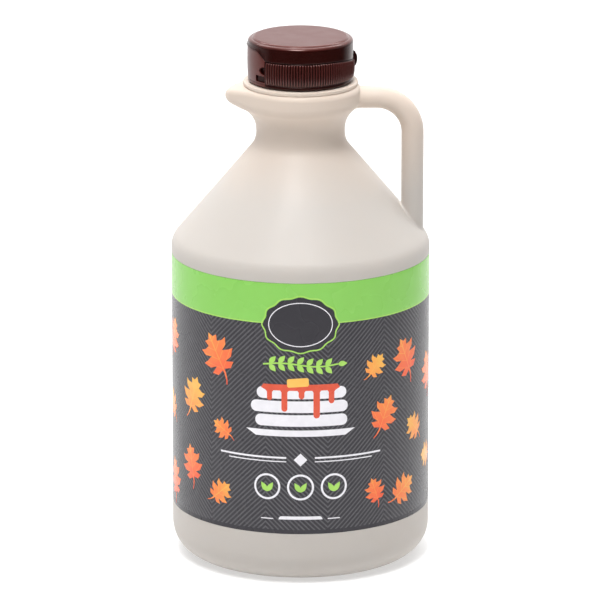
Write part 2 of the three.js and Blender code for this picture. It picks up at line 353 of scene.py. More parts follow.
class Shading:
    """Builds one material's node tree around its Principled shader."""

    def __init__(self, name: str) -> None:
        """Starts an empty material.

        Args:
            name: The material's name.
        """
        self.material = bpy.data.materials.new(name)
        self.material.use_nodes = True
        self.tree = self.material.node_tree
        self.shader = self.tree.nodes["Principled BSDF"]
        self.place = self.tree.nodes.new("ShaderNodeTexCoord").outputs["Object"]

    def set(self, **sockets: object) -> None:
        """Sets the shader's own sockets; an underscore in a name stands for a space."""
        for name, value in sockets.items():
            self.shader.inputs[name.replace("_", " ")].default_value = value

    def noise(self, scale: float, detail: float = 2.0, squeeze: Triple = (1, 1, 1)) -> Socket:
        """Noise over the object's own coordinates.

        Args:
            scale: How many waves there are to a metre.
            detail: How many finer octaves are added.
            squeeze: How much closer the waves lie along each axis.

        Returns:
            The noise value, from 0 to 1 about 0.5.
        """
        mapping = self.tree.nodes.new("ShaderNodeMapping")
        mapping.inputs["Scale"].default_value = squeeze
        node = self.tree.nodes.new("ShaderNodeTexNoise")
        node.inputs["Scale"].default_value = scale
        node.inputs["Detail"].default_value = detail
        self.tree.links.new(self.place, mapping.inputs["Vector"])
        self.tree.links.new(mapping.outputs["Vector"], node.inputs["Vector"])
        return node.outputs["Fac"]

    def attribute(self, name: str) -> Socket:
        """The value of one of the mesh's own attributes.

        Args:
            name: The attribute's name.

        Returns:
            The value.
        """
        node = self.tree.nodes.new("ShaderNodeAttribute")
        node.attribute_name = name
        return node.outputs["Fac"]

    def along(self, axis: str, span: Pair) -> Socket:
        """How far along a span the surface lies.

        Args:
            axis: The span's axis, X, Y or Z.
            span: Where the span starts and ends, in millimetres.

        Returns:
            The share, from 0 at its start to 1 at its end.
        """
        parts = self.tree.nodes.new("ShaderNodeSeparateXYZ")
        reach = self.tree.nodes.new("ShaderNodeMapRange")
        reach.inputs["From Min"].default_value = span[0] * MM
        reach.inputs["From Max"].default_value = span[1] * MM
        self.tree.links.new(self.place, parts.inputs[0])
        self.tree.links.new(parts.outputs[axis], reach.inputs["Value"])
        return reach.outputs["Result"]

    def sum(self, operation: str, *values: object) -> Socket:
        """One sum of up to three values.

        Args:
            operation: The kind of sum, as Blender's Math node names it.
            *values: The values, each a socket or a plain number.

        Returns:
            The result.
        """
        node = self.tree.nodes.new("ShaderNodeMath")
        node.operation = operation
        for socket, value in zip(node.inputs, values):
            if isinstance(value, Socket):
                self.tree.links.new(value, socket)
            else:
                socket.default_value = value
        return node.outputs[0]

    def spread(self, value: Socket, low: float, high: float) -> Socket:
        """Spreads the middle of a noise over a range.

        Args:
            value: The noise.
            low: The result where the noise is low.
            high: The result where the noise is high.

        Returns:
            The value in its new range.
        """
        node = self.tree.nodes.new("ShaderNodeMapRange")
        node.inputs["From Min"].default_value = NOISE_MIDDLE[0]
        node.inputs["From Max"].default_value = NOISE_MIDDLE[1]
        node.inputs["To Min"].default_value = low
        node.inputs["To Max"].default_value = high
        self.tree.links.new(value, node.inputs["Value"])
        return node.outputs["Result"]

    def ramp(self, value: Socket, stops: Sequence[tuple[float, Colour]]) -> Socket:
        """Turns a value into a colour.

        Args:
            value: The value, from 0 to 1.
            stops: Each place along the ramp and its colour.

        Returns:
            The colour.
        """
        node = self.tree.nodes.new("ShaderNodeValToRGB")
        elements = node.color_ramp.elements
        while len(elements) < len(stops):
            elements.new(1.0)
        for element, (place, colour) in zip(elements, stops):
            element.position = place
            element.color = (*colour, 1.0)
        self.tree.links.new(value, node.inputs["Fac"])
        return node.outputs["Color"]

    def worn(self, roughness: float, wear: Pair, scale: float, detail: float = 2.0) -> Socket:
        """A roughness that varies a little over the surface.

        Args:
            roughness: The roughness about which it varies.
            wear: How far it falls and rises.
            scale: How many waves there are to a metre.
            detail: How many finer octaves are added.

        Returns:
            The roughness.
        """
        noise = self.noise(scale, detail)
        return self.spread(noise, roughness + wear[0], roughness + wear[1])

    def bump(self, height: Socket, depth: float, under: Optional[Socket] = None) -> Socket:
        """Raises the surface by a height.

        Args:
            height: The height, from 0 to 1.
            depth: How high 1 is, in millimetres.
            under: The bump that this one lies on.

        Returns:
            The bumped normal.
        """
        node = self.tree.nodes.new("ShaderNodeBump")
        node.inputs["Distance"].default_value = depth * MM
        self.tree.links.new(height, node.inputs["Height"])
        if under:
            self.tree.links.new(under, node.inputs["Normal"])
        return node.outputs["Normal"]

    def feed(self, socket: str, value: Socket) -> None:
        """Links a value to one of the shader's sockets."""
        self.tree.links.new(value, self.shader.inputs[socket])


@dataclass(frozen=True)
class BlownPlastic:
    """Satin polyethylene, cloudy, with the faint orange peel and ripple of a blown wall.

    Here and in the other finishes a scale is how many waves a noise has to a metre.
    """

    # The colour turns warmer and paler up the neck; the flare's paler stop is painted light, the
    # lit upper edge of the rim.
    body: Colour = linear(191, 185, 179)
    neck: Colour = linear(204, 190, 178)
    neck_at: float = 0.65
    flare: Colour = linear(209, 194, 181)
    warm_and_painted_light_span: Pair = (145.0, 182.0)
    cloudy: float = 0.05
    cloud_scale: float = 38.0
    roughness: float = 0.5
    wear: Pair = (-0.04, 0.05)
    wear_scale: float = 90.0
    ripple: float = 0.10
    ripple_scale: float = 30.0
    ripple_squeeze: Triple = (1.0, 1.0, 0.6)
    peel: float = 0.012
    peel_scale: float = 1500.0
    ior: float = 1.5
    gloss: float = 0.35
    milkiness: float = 0.12
    milk_depth: float = 0.003
    milk_tint: Colour = (1.0, 0.75, 0.6)

    def material(self, name: str) -> bpy.types.Material:
        """Builds the material.

        Args:
            name: The material's name.

        Returns:
            The material.
        """
        shading = Shading(name)
        cloud = shading.spread(shading.noise(self.cloud_scale, 3.0), -self.cloudy, self.cloudy)
        # Warmer up the neck, and paler on the flare as painted light where its upper edge is lit.
        shade = shading.sum("ADD", shading.along("Z", self.warm_and_painted_light_span), cloud)
        stops = [(0.0, self.body), (self.neck_at, self.neck), (1.0, self.flare)]
        shading.feed("Base Color", shading.ramp(shade, stops))
        shading.feed("Roughness", shading.worn(self.roughness, self.wear, self.wear_scale))
        ripple = shading.noise(self.ripple_scale, 1.0, self.ripple_squeeze)
        soft = shading.bump(ripple, self.ripple)
        peel = shading.noise(self.peel_scale, 1.0)
        shading.feed("Normal", shading.bump(peel, self.peel, soft))
        shading.set(IOR=self.ior, Specular_IOR_Level=self.gloss)
        shading.set(Subsurface_Weight=self.milkiness, Subsurface_Scale=self.milk_depth)
        shading.set(Subsurface_Radius=self.milk_tint)
        return shading.material


@dataclass(frozen=True)
class MouldedPlastic:
    """Gloss polypropylene from a polished mould, finely sanded on the lid's top and the panel,
    painted paler there and on the lid's upper edge as painted sheen.
    """

    tone: Colour
    duller: Colour
    duller_at: float = 0.3
    # Painted light: the paler tone of the lid's top, its upper edge and the thumb panel.
    painted_light: Colour = linear(84, 38, 34)
    painted_light_at: float = 0.7
    sanded_span: Pair = (205.9, 206.0)
    painted_light_span: Pair = (204.0, 205.5)
    uneven_scale: float = 70.0
    roughness: float = 0.2
    sanded_roughness: float = 0.34
    wear: Pair = (-0.02, 0.03)
    wear_scale: float = 160.0
    peel: float = 0.004
    peel_scale: float = 700.0
    ior: float = 1.46
    sheen: Colour = (1.0, 0.72, 0.68)

    def material(self, name: str) -> bpy.types.Material:
        """Builds the material.

        Args:
            name: The material's name.

        Returns:
            The material.
        """
        shading = Shading(name)
        panel = shading.attribute(MATT_AND_PAINTED_LIGHT)
        top = shading.sum("MAXIMUM", shading.along("Z", self.sanded_span), panel)
        # Painted sheen: paler up the lid's upper edge, over its top and on the panel, as if lit
        # from above and the bright side.
        paler = shading.sum("MAXIMUM", shading.along("Z", self.painted_light_span), panel)
        uneven = shading.spread(shading.noise(self.uneven_scale, 3.0), 0.0, self.duller_at)
        shade = shading.sum("MULTIPLY_ADD", paler, self.painted_light_at, uneven)
        stops = [(0.0, self.tone), (self.duller_at, self.duller), (self.painted_light_at, self.painted_light)]
        shading.feed("Base Color", shading.ramp(shade, stops))
        polished = shading.worn(self.roughness, self.wear, self.wear_scale, 3.0)
        rougher = self.sanded_roughness - self.roughness
        shading.feed("Roughness", shading.sum("MULTIPLY_ADD", top, rougher, polished))
        shading.feed("Normal", shading.bump(shading.noise(self.peel_scale, 1.0), self.peel))
        shading.set(IOR=self.ior, Specular_Tint=(*self.sheen, 1.0))
        return shading.material


@dataclass(frozen=True)
class Film:
    """What every ink of the label has from the film that it lies on."""

    roughness: float = 0.27
    wear: Pair = (-0.015, 0.02)
    wear_scale: float = 80.0
    ripple_scale: float = 45.0
    ripple_squeeze: Triple = (1.0, 1.0, 0.5)
    ior: float = 1.4

    def ripple(self, shading: Shading, depth: float) -> None:
        """Gives an ink the film's ripple and its index of refraction.

        Args:
            shading: The ink's material.
            depth: The ripple's depth, in millimetres.
        """
        waves = shading.noise(self.ripple_scale, 2.0, self.ripple_squeeze)
        shading.feed("Normal", shading.bump(waves, depth))
        shading.set(IOR=self.ior)


@dataclass(frozen=True)
class Ink:
    """One printed colour of the label's film, a little uneven and slightly rippled."""

    tone: Colour
    paler: Colour
    uneven_scale: float = 250.0
    ripple: float = 0.015
    film: Film = Film()

    def material(self, name: str) -> bpy.types.Material:
        """Builds the material.

        Args:
            name: The material's name.

        Returns:
            The material.
        """
        shading = Shading(name)
        low, high = NOISE_MIDDLE
        stops = [(low, self.tone), (high, self.paler)]
        shading.feed("Base Color", shading.ramp(shading.noise(self.uneven_scale, 3.0), stops))
        film = self.film
        shading.feed("Roughness", shading.worn(film.roughness, film.wear, film.wear_scale))
        film.ripple(shading, self.ripple)
        return shading.material


@dataclass(frozen=True)
class LeafInk:
    """The leaves' ink, which runs from one autumn colour to another along each leaf."""

    red: Colour = linear(243, 92, 62)
    orange: Colour = linear(250, 140, 72)
    amber: Colour = linear(248, 184, 84)
    colours_at: Triple = (0.15, 0.65, 1.0)
    mottled: float = 0.35
    mottle_scale: float = 300.0
    vein_paler: float = 0.3
    vein_half: float = 0.035
    vein_count: float = 4.5
    vein_climb: float = 3.6
    midrib_half: float = 0.012
    ripple: float = 0.03
    film: Film = Film()

    def veins(self, shading: Shading) -> Socket:
        """The midrib and the side veins, which climb from it on both sides.

        Args:
            shading: The material.

        Returns:
            1 on a vein and 0 beside it.
        """
        across, along = shading.attribute(LEAF_ACROSS), shading.attribute(LEAF_ALONG)
        midrib = shading.sum("LESS_THAN", across, self.midrib_half)
        place = shading.sum("MULTIPLY", along, self.vein_count)
        place = shading.sum("MULTIPLY_ADD", across, -self.vein_climb, place)
        gap = shading.sum("ABSOLUTE", shading.sum("SUBTRACT", shading.sum("FRACT", place), 0.5))
        return shading.sum("MAXIMUM", midrib, shading.sum("LESS_THAN", gap, self.vein_half))

    def material(self, name: str) -> bpy.types.Material:
        """Builds the material from the leaves' own attributes.

        Args:
            name: The material's name.

        Returns:
            The material.
        """
        shading = Shading(name)
        mottle = shading.noise(self.mottle_scale, 3.0)
        tint = shading.sum("MULTIPLY_ADD", mottle, self.mottled, shading.attribute(LEAF_TINT))
        tint = shading.sum("MULTIPLY_ADD", self.veins(shading), self.vein_paler, tint)
        stops = list(zip(self.colours_at, (self.red, self.orange, self.amber)))
        shading.feed("Base Color", shading.ramp(tint, stops))
        self.film.ripple(shading, self.ripple)
        shading.set(Roughness=self.film.roughness)
        return shading.material


@dataclass(frozen=True)
class Rim:
    """One section of the neck's flare, from its waist up to the groove under the collar."""

    throat: float
    lean: float
    reach: float
    nose: float
    land: float
    crown: float
    crown_angle: float

    def outline(self, waist: Pair) -> list[Pair]:
        """The section's points.

        Args:
            waist: The radius and height where the section starts.

        Returns:
            Points up the section, each a radius and a height.
        """
        throat = arc((waist[0] + self.throat, waist[1]), self.throat, 180, 180 - self.lean, 20)
        start = throat[-1]
        slope_end = self.reach - self.nose * (1 - cosd(self.lean))
        rise = (slope_end - start[0]) / math.tan(math.radians(self.lean))
        nose_z = start[1] + rise + self.nose * sind(self.lean)
        nose = arc((self.reach - self.nose, nose_z), self.nose, -self.lean, 0, 14)
        crown_middle = (self.reach - self.crown, nose_z + self.land)
        crown = arc(crown_middle, self.crown, 0, self.crown_angle, 14)
        slope = straight(start, nose[0], 4)
        return throat + slope + nose + straight(nose[-1], crown[0], 3) + crown


@dataclass
class Bottle:
    """The blown bottle: body, cone, neck with its pinched lip, and the finger handle."""

    finish: BlownPlastic
    radius: float = 50.0
    foot: float = 12.0
    foot_disc: float = 3.0
    recess: Pair = (20.78, 120.72)
    recess_depth: float = 0.4
    recess_round: float = 0.06
    corner_z: float = 125.75
    corner_round: float = 8.0
    cone: float = 50.0
    waist: Triple = (17.05, 168.2, 168.9)
    rim: Rim = Rim(
        throat=11.5, lean=50.0, reach=23.2, nose=5.0, land=2.85, crown=2.4, crown_angle=50.0
    )
    lip: Rim = Rim(
        throat=10.0, lean=67.0, reach=28.9, nose=2.9, land=0.3, crown=2.9, crown_angle=73.0
    )
    lip_tip: float = 6.0
    groove: Pair = (21.8, 186.8)
    groove_floor: Pair = (0.02, 0.12)
    collar_rise: float = 0.2
    collar: Pair = (22.1, 188.4)
    collar_round: float = 0.35
    neck_end: Pair = (19.0, 188.5)
    neck_disc: float = 6.0
    columns: int = 256
    seam_width: float = 0.3
    seam_height: float = 0.1
    seam_room: float = 0.045
    seam_from: float = 2.0
    handle_x: Pair = (14.0, 43.25)
    handle_z: Pair = (181.7, 122.0)
    bend: float = 13.8
    half_width: float = 4.2
    half_depth: float = 5.0
    root_fillet: Triple = (2.2, 1.6, 0.6)
    foot_fillet: Triple = (2.2, 1.8, 1.0)
    fillet_sunk: float = 0.12
    end_sunk: Pair = (1.5, 0.3)
    sides: int = 72
    bend_steps: int = 36
    name: str = "jug_bottle"
    shell: Shell = field(init=False)

    def wall(self) -> list[Pair]:
        """The outline from the base to the neck's waist.

        Returns:
            Points up the outline, each a radius and a height.
        """
        lean = 90.0 - self.cone
        low, high = self.recess
        inner, fillet = self.radius - self.recess_depth, self.recess_round
        shoulder_z = self.corner_z - self.corner_round * math.tan(math.radians(lean / 2))
        waist_r, waist_low, _ = self.waist
        inset = (waist_r - self.radius) * sind(self.cone)
        inset += (waist_low - self.corner_z) * cosd(self.cone)
        throat = inset / (1 - sind(self.cone))
        foot = arc((self.radius - self.foot, self.foot), self.foot, -90, 0, 28)
        shoulder_middle = (self.radius - self.corner_round, shoulder_z)
        shoulder = arc(shoulder_middle, self.corner_round, 0, lean, 18)
        neck = arc((waist_r + throat, waist_low), throat, 180 + lean, 180, 20)
        points = [(self.foot_disc, 0.0)] + straight((self.foot_disc, 0.0), foot[0], 6) + foot
        points += straight(foot[-1], (self.radius, low - fillet), 4)
        points += arc((self.radius - fillet, low - fillet), fillet, 0, 90, 3)
        points += [(inner, z) for z in (low, low + 0.5, (low + high) / 2, high - 0.5, high)]
        points += arc((self.radius - fillet, high + fillet), fillet, -90, 0, 3)
        points += straight((self.radius, high + fillet), shoulder[0], 2)
        return points + shoulder + straight(shoulder[-1], neck[0], 30) + neck

    def top(self) -> list[Pair]:
        """The outline of the collar under the cap and of the neck's end.

        Returns:
            Points up the outline, each a radius and a height.
        """
        groove_r, groove_z = self.groove
        collar_r, collar_z = self.collar
        small = self.collar_round
        inset, rise = self.groove_floor
        points = [(groove_r - inset, groove_z), (groove_r, groove_z + rise)]
        points += arc((collar_r - small, groove_z + self.collar_rise + small), small, -70, 0, 5)
        points += arc((collar_r - small, collar_z - small), small, 0, 90, 6)
        end_r, end_z = self.neck_end
        return points + [(end_r, collar_z), (end_r, end_z), (self.neck_disc, end_z)]

    def lip_share(self, from_tip: float) -> float:
        """How far the lip has grown: 1 at its tip, 0 where it meets the round rim.

        In plan the lip is a small tip circle and two straight sides that touch the rim's circle.

        Args:
            from_tip: The angle from the lip's tip, in radians.

        Returns:
            The share.
        """
        middle = self.lip.reach - self.lip_tip
        touch = math.acos((self.rim.reach - self.lip_tip) / middle)
        tip_x, tip_y = middle + self.lip_tip * math.cos(touch), self.lip_tip * math.sin(touch)
        edge = math.atan2(tip_y, tip_x)
        reach = self.rim.reach
        if from_tip < edge:
            across = middle * math.sin(from_tip)
            reach = middle * math.cos(from_tip) + math.sqrt(self.lip_tip**2 - across**2)
        elif from_tip < touch:
            reach = self.rim.reach / math.cos(touch - from_tip)
        return (reach - self.rim.reach) / (self.lip.reach - self.rim.reach)

    def seam(self, across: np.ndarray, height: float) -> np.ndarray:
        """The fine parting ridge of the mould, which runs round in the XZ plane.

        Args:
            across: Distances from that plane.
            height: The ridge's height.

        Returns:
            How far the surface is raised at each distance.
        """
        return height * np.exp(-((across / self.seam_width) ** 2))

    def body_shell(self) -> Shell:
        """The bottle without its handle.

        Returns:
            The closed surface.
        """
        waist = (self.waist[0], self.waist[2])
        round_section = np.array(self.wall() + self.rim.outline(waist) + self.top())
        lip_section = np.array(self.wall() + self.lip.outline(waist) + self.top())
        angles = round_angles(self.columns, (0.0, 180.0), (0.2, 0.4, 0.7, 1.0))
        from_tip = np.pi - np.abs(angles)
        share = np.array([self.lip_share(a) for a in from_tip])[None, :, None]
        section = round_section[:, None, :] * (1 - share) + lip_section[:, None, :] * share
        radius, z = section[..., 0], section[..., 1]
        room = np.clip(self.radius + self.seam_room - radius, 0.0, self.seam_height)
        room[z < self.seam_from] = 0.0
        radius = radius + room * self.seam(radius * np.sin(angles), 1.0)
        x, y = radius * np.cos(angles), radius * np.sin(angles)
        return Shell.from_rings(np.stack([x, y, z], axis=-1))

    def section(self, middle: np.ndarray, outward: np.ndarray, angles: np.ndarray) -> np.ndarray:
        """One ring of the handle.

        Args:
            middle: The ring's centre.
            outward: The direction away from the finger gap, in the XZ plane.
            angles: The angles round the ring, from that direction.

        Returns:
            The ring's points.
        """
        ridge = self.seam(self.half_depth * np.sin(angles), self.seam_height)
        along = (self.half_width + ridge) * np.cos(angles)
        across = self.half_depth * np.sin(angles)
        return middle + along[:, None] * outward + across[:, None] * np.array([0.0, 1.0, 0.0])

    def flare(
        self, surface: BVHTree, ring: np.ndarray, heading: np.ndarray, sizes: np.ndarray
    ) -> list[np.ndarray]:
        """The end of the handle, which spreads out to meet the bottle in a small fillet.

        Args:
            surface: The bottle's surface.
            ring: The last ring of the plain handle.
            heading: The direction in which the handle runs on.
            sizes: The fillet's size at each point of the ring.

        Returns:
            The rings from the plain handle to just under the bottle's surface.
        """
        middle = ring.mean(axis=0)
        start, corner, end, sunk = [], [], [], []
        for point, size in zip(ring, sizes):
            hit, normal, _, _ = surface.ray_cast(Vector(point), Vector(heading))
            away = Vector(point - middle).normalized()
            away = (away - normal * away.dot(normal)).normalized()
            foot, foot_normal, _, _ = surface.find_nearest(hit + away * size)
            start.append(hit - Vector(heading) * size)
            corner.append(hit)
            end.append(foot - foot_normal * self.fillet_sunk)
            sunk.append(foot - foot_normal * self.end_sunk[0] - away * self.end_sunk[1])
        rows = (start, corner, end, sunk)
        start, corner, end, sunk = (np.array([tuple(p) for p in row]) for row in rows)
        rings = [ring + (start - ring) * s for s in (0.25, 0.5, 0.75)]
        for t in [i / 10 for i in range(11)]:
            rings.append(start * (1 - t) ** 2 + corner * 2 * t * (1 - t) + end * t * t)
        return rings + [sunk]

    def handle_shell(self) -> Shell:
        """The handle: out of the rim, round its bend and down to the cone.

        Returns:
            The closed surface, whose ends lie inside the bottle.
        """
        world = [Vector(v) for v in self.shell.vertices]
        surface = BVHTree.FromPolygons(world, self.shell.faces)
        angles = round_angles(self.sides, (0.0, 180.0), (1.5, 3.5, 7.0))
        upward, outward = np.array([0.0, 0.0, 1.0]), np.array([1.0, 0.0, 0.0])
        centre = np.array([self.handle_x[1] - self.bend, 0.0, self.handle_z[0] - self.bend])
        rings = []
        for i in range(self.bend_steps + 1):
            turn = math.pi / 2 * i / self.bend_steps
            away = upward * math.cos(turn) + outward * math.sin(turn)
            rings.append(self.section(centre + away * self.bend, away, angles))
        facing = np.cos(angles)
        root = np.interp(facing, [-1, 0, 1], self.root_fillet)
        top = self.flare(surface, rings[0], -outward, root)
        foot = np.interp(facing, [-1, 0, 1], self.foot_fillet)
        bottom = self.flare(surface, rings[-1], -upward, foot)
        return Shell.from_rings(np.array(top[::-1] + rings + bottom))

    def build(self) -> None:
        """Builds the bottle with its handle in one piece."""
        self.shell = self.body_shell()
        bottle = self.shell.piece(self.name)
        handle = self.handle_shell().piece("handle")
        mend(handle)
        combine(bottle, handle, Joining.UNION)
        dress(bottle, self.finish.material("satin_beige_polyethylene"), sharp=32.0)
        enrol(bottle, "bottle")


class GeometryTree:
    """Builds a Geometry Nodes tree and runs it on an object."""

    def __init__(self, name: str) -> None:
        """Starts a tree with one geometry in and one out.

        Args:
            name: The tree's name.
        """
        self.tree = bpy.data.node_groups.new(name, "GeometryNodeTree")
        self.identifiers: dict[str, str] = {}
        self.group = self.tree.nodes.new("NodeGroupInput")
        self.tree.interface.new_socket(
            "Geometry", in_out="OUTPUT", socket_type="NodeSocketGeometry"
        )
        self.blank = self.input("Geometry", "Geometry")

    def input(self, name: str, kind: str = "Float") -> Socket:
        """Adds a named input.

        Args:
            name: The input's name.
            kind: Its kind, as Blender's socket types name it.

        Returns:
            The value that the tree reads.
        """
        item = self.tree.interface.new_socket(name, in_out="INPUT", socket_type="NodeSocket" + kind)
        self.identifiers[name] = item.identifier
        return self.group.outputs[name]

    def node(
        self, kind: str, links: dict[Union[str, int], object], **settings: object
    ) -> bpy.types.Node:
        """Adds a node.

        Args:
            kind: The node's type, without GeometryNode where it starts so.
            links: What each input gets: another node's socket or a plain value.
            **settings: The node's own properties.

        Returns:
            The node.
        """
        full = kind if kind.startswith(("ShaderNode", "FunctionNode")) else "GeometryNode" + kind
        node = self.tree.nodes.new(full)
        for name, value in settings.items():
            setattr(node, name, value)
        for name, value in links.items():
            if isinstance(value, Socket):
                self.tree.links.new(value, node.inputs[name])
            else:
                node.inputs[name].default_value = value
        return node

    def math(self, operation: str, *values: object) -> Socket:
        """One sum of up to three values."""
        node = self.node("ShaderNodeMath", dict(enumerate(values)), operation=operation)
        return node.outputs[0]

    def split(self, vector: Socket) -> tuple[Socket, ...]:
        """A vector's three parts."""
        return tuple(self.node("ShaderNodeSeparateXYZ", {0: vector}).outputs)

    def vector(self, x: object, y: object, z: object) -> Socket:
        """A vector from its three parts."""
        return self.node("ShaderNodeCombineXYZ", {0: x, 1: y, 2: z}).outputs[0]

    def named(self, name: str, kind: str = "FLOAT") -> Socket:
        """The value of a named attribute."""
        return self.node("InputNamedAttribute", {"Name": name}, data_type=kind).outputs["Attribute"]

    def store(self, geometry: Socket, name: str, value: object, kind: str = "FLOAT") -> Socket:
        """Stores a value on each point under a name.

        Args:
            geometry: The geometry it is stored on.
            name: The attribute's name.
            value: The value.
            kind: The attribute's data type.

        Returns:
            The geometry with the attribute.
        """
        links = {"Geometry": geometry, "Name": name, "Value": value}
        return self.node("StoreNamedAttribute", links, data_type=kind).outputs[0]

    def place(self) -> tuple[Socket, ...]:
        """Each point's own x, y and z."""
        return self.split(self.node("InputPosition", {}).outputs[0])

    def wrap(self, geometry: Socket, u: object, v: object, radius: object) -> Socket:
        """Lays flat artwork round the label.

        Args:
            geometry: The flat artwork.
            u: How far round it lies, to the right of the front.
            v: How high it lies.
            radius: Its distance from the axis.

        Returns:
            The wrapped geometry.
        """
        angle = self.math("DIVIDE", u, radius)
        x = self.math("MULTIPLY", radius, self.math("SINE", angle))
        y = self.math("MULTIPLY", radius, self.math("COSINE", angle))
        back = self.vector(x, self.math("MULTIPLY", y, -1.0), v)
        return self.node("SetPosition", {"Geometry": geometry, "Position": back}).outputs[0]

    def finish(self, geometry: Socket, material: Socket) -> None:
        """Ends the tree with real geometry and its material.

        Args:
            geometry: What the tree has made.
            material: The material it gets.
        """
        real = self.node("RealizeInstances", {"Geometry": geometry}).outputs[0]
        painted = self.node("SetMaterial", {"Geometry": real, "Material": material}).outputs[0]
        output = self.tree.nodes.new("NodeGroupOutput")
        self.tree.links.new(painted, output.inputs[0])

    def run(self, obj: bpy.types.Object, values: dict[str, object]) -> None:
        """Runs the tree on an object and keeps the result as its plain mesh.

        Args:
            obj: The object.
            values: What each named input gets.
        """
        modifier = obj.modifiers.new(self.tree.name, "NODES")
        modifier.node_group = self.tree
        for name, value in values.items():
            modifier[self.identifiers[name]] = value
        settle(obj)


@dataclass
class Artwork:
    """Shapes of one ink, drawn flat and laid round the label as a thin closed layer.

    Flat coordinates are millimetres round the label, to the right of its front, and height.
    """

    layer: Layer
    cell: float = 2.0
    loops: list[list[Pair]] = field(default_factory=list)

    def add(
        self, points: Sequence[Pair], at: Pair = (0, 0), size: float = 1.0, turn: float = 0.0
    ) -> None:
        """Adds a closed shape.

        Args:
            points: The shape's outline.
            at: Where its origin goes.
            size: What its sizes are multiplied by.
            turn: The angle it is turned by, to the left, in degrees.
        """
        c, s = cosd(turn) * size, sind(turn) * size
        self.loops.append([(at[0] + x * c - y * s, at[1] + x * s + y * c) for x, y in points])

    def line(self, path: Sequence[Pair], width: float, closed: bool = False) -> None:
        """Adds a line of even width as a chain of four-sided shapes.

        Args:
            path: The line's middle.
            width: Its width.
            closed: Whether its end joins its start.
        """
        count = len(path)
        sides = []
        for i, (x, y) in enumerate(path):
            before = path[(i - 1) % count] if closed or i else path[i]
            after = path[(i + 1) % count] if closed or i < count - 1 else path[i]
            ahead = Vector((after[0] - before[0], after[1] - before[1])).normalized()
            aside = Vector((-ahead.y, ahead.x)) * (width / 2)
            sides.append(((x + aside.x, y + aside.y), (x - aside.x, y - aside.y)))
        for i in range(count if closed else count - 1):
            (a, b), (c, d) = sides[i], sides[(i + 1) % count]
            self.loops.append([a, b, d, c])

    def filled(self) -> bmesh.types.BMesh:
        """Fills the shapes and cuts them into cells small enough to bend.

        Returns:
            The flat layer, in millimetres.
        """
        work = bmesh.new()
        for loop in self.loops:
            part = bmesh.new()
            ring = [part.verts.new((x, y, 0)) for x, y in loop]
            edges = [part.edges.new((ring[i - 1], ring[i])) for i in range(len(ring))]
            bmesh.ops.triangle_fill(part, use_beauty=True, edges=edges)
            scratch = bpy.data.meshes.new("part")
            part.to_mesh(scratch)
            part.free()
            work.from_mesh(scratch)
            bpy.data.meshes.remove(scratch)
        bmesh.ops.remove_doubles(work, verts=work.verts, dist=1e-4)
        for axis in (0, 1):
            values = [v.co[axis] / self.cell for v in work.verts]
            low, high = math.floor(min(values)), math.ceil(max(values))
            for i in range(low + 1, high):
                spot, way = Vector((0, 0, 0)), Vector((0, 0, 0))
                spot[axis], way[axis] = i * self.cell, 1.0
                every = work.verts[:] + work.edges[:] + work.faces[:]
                bmesh.ops.bisect_plane(work, geom=every, dist=1e-5, plane_co=spot, plane_no=way)
        return work

    def thicken(self, work: bmesh.types.BMesh) -> None:
        """Makes the flat layer a closed slab, its height the distance from the axis.

        Args:
            work: The flat layer.
        """
        for vertex in work.verts:
            vertex.co.z = Layer.FOOT.value
        below = work.faces[:]
        extruded = bmesh.ops.extrude_face_region(work, geom=below, use_keep_orig=True)
        for part in extruded["geom"]:
            if isinstance(part, bmesh.types.BMVert):
                part.co.z = self.layer.value
        bmesh.ops.recalc_face_normals(work, faces=work.faces)

    def flat_piece(self, name: str) -> bpy.types.Object:
        """Makes the slab an object without laying it round the label.

        Args:
            name: The object's name.

        Returns:
            The object, in metres, its thickness along Z.
        """
        work = self.filled()
        self.thicken(work)
        bmesh.ops.scale(work, vec=(MM, MM, MM), verts=work.verts)
        mesh = bpy.data.meshes.new(name)
        work.to_mesh(mesh)
        work.free()
        return put(name, mesh)

    def piece(self, name: str) -> bpy.types.Object:
        """Makes the slab an object that lies round the label.

        Args:
            name: The object's name.

        Returns:
            The object.
        """
        obj = self.flat_piece(name)
        for vertex in obj.data.vertices:
            u, v, radius = vertex.co
            angle = u / radius
            vertex.co = (radius * math.sin(angle), -radius * math.cos(angle), v)
        obj.data.update()
        return obj


def oval(width: float, height: float, steps: int = 40) -> list[Pair]:
    """The outline of an oval about the origin."""
    angles = [360.0 * i / steps for i in range(steps)]
    return [(width / 2 * cosd(a), height / 2 * sind(a)) for a in angles]


def pill(width: float, height: float, corner: float, steps: int = 6) -> list[Pair]:
    """The outline of a bar with rounded corners about the origin.

    Args:
        width: The bar's width.
        height: The bar's height.
        corner: The corners' radius.
        steps: How many steps each corner has.

    Returns:
        The outline, to the left.
    """
    x, y = width / 2 - corner, height / 2 - corner
    points = []
    for start, (cx, cy) in zip((0, 90, 180, 270), ((x, y), (-x, y), (-x, -y), (x, -y))):
        points += arc((cx, cy), corner, start, start + 90, steps)
    return points


def pointed(length: float, width: float, steps: int = 9) -> list[Pair]:
    """The outline of a simple pointed leaf that grows upwards from the origin.

    Args:
        length: The leaf's length.
        width: Its width.
        steps: How many steps each side has.

    Returns:
        The outline.
    """
    shares = [i / steps for i in range(steps + 1)]
    right = [(width / 2 * sind(180 * s**0.85), length * s) for s in shares]
    left = [(-x, y) for x, y in right[-2:0:-1]]
    return right + left


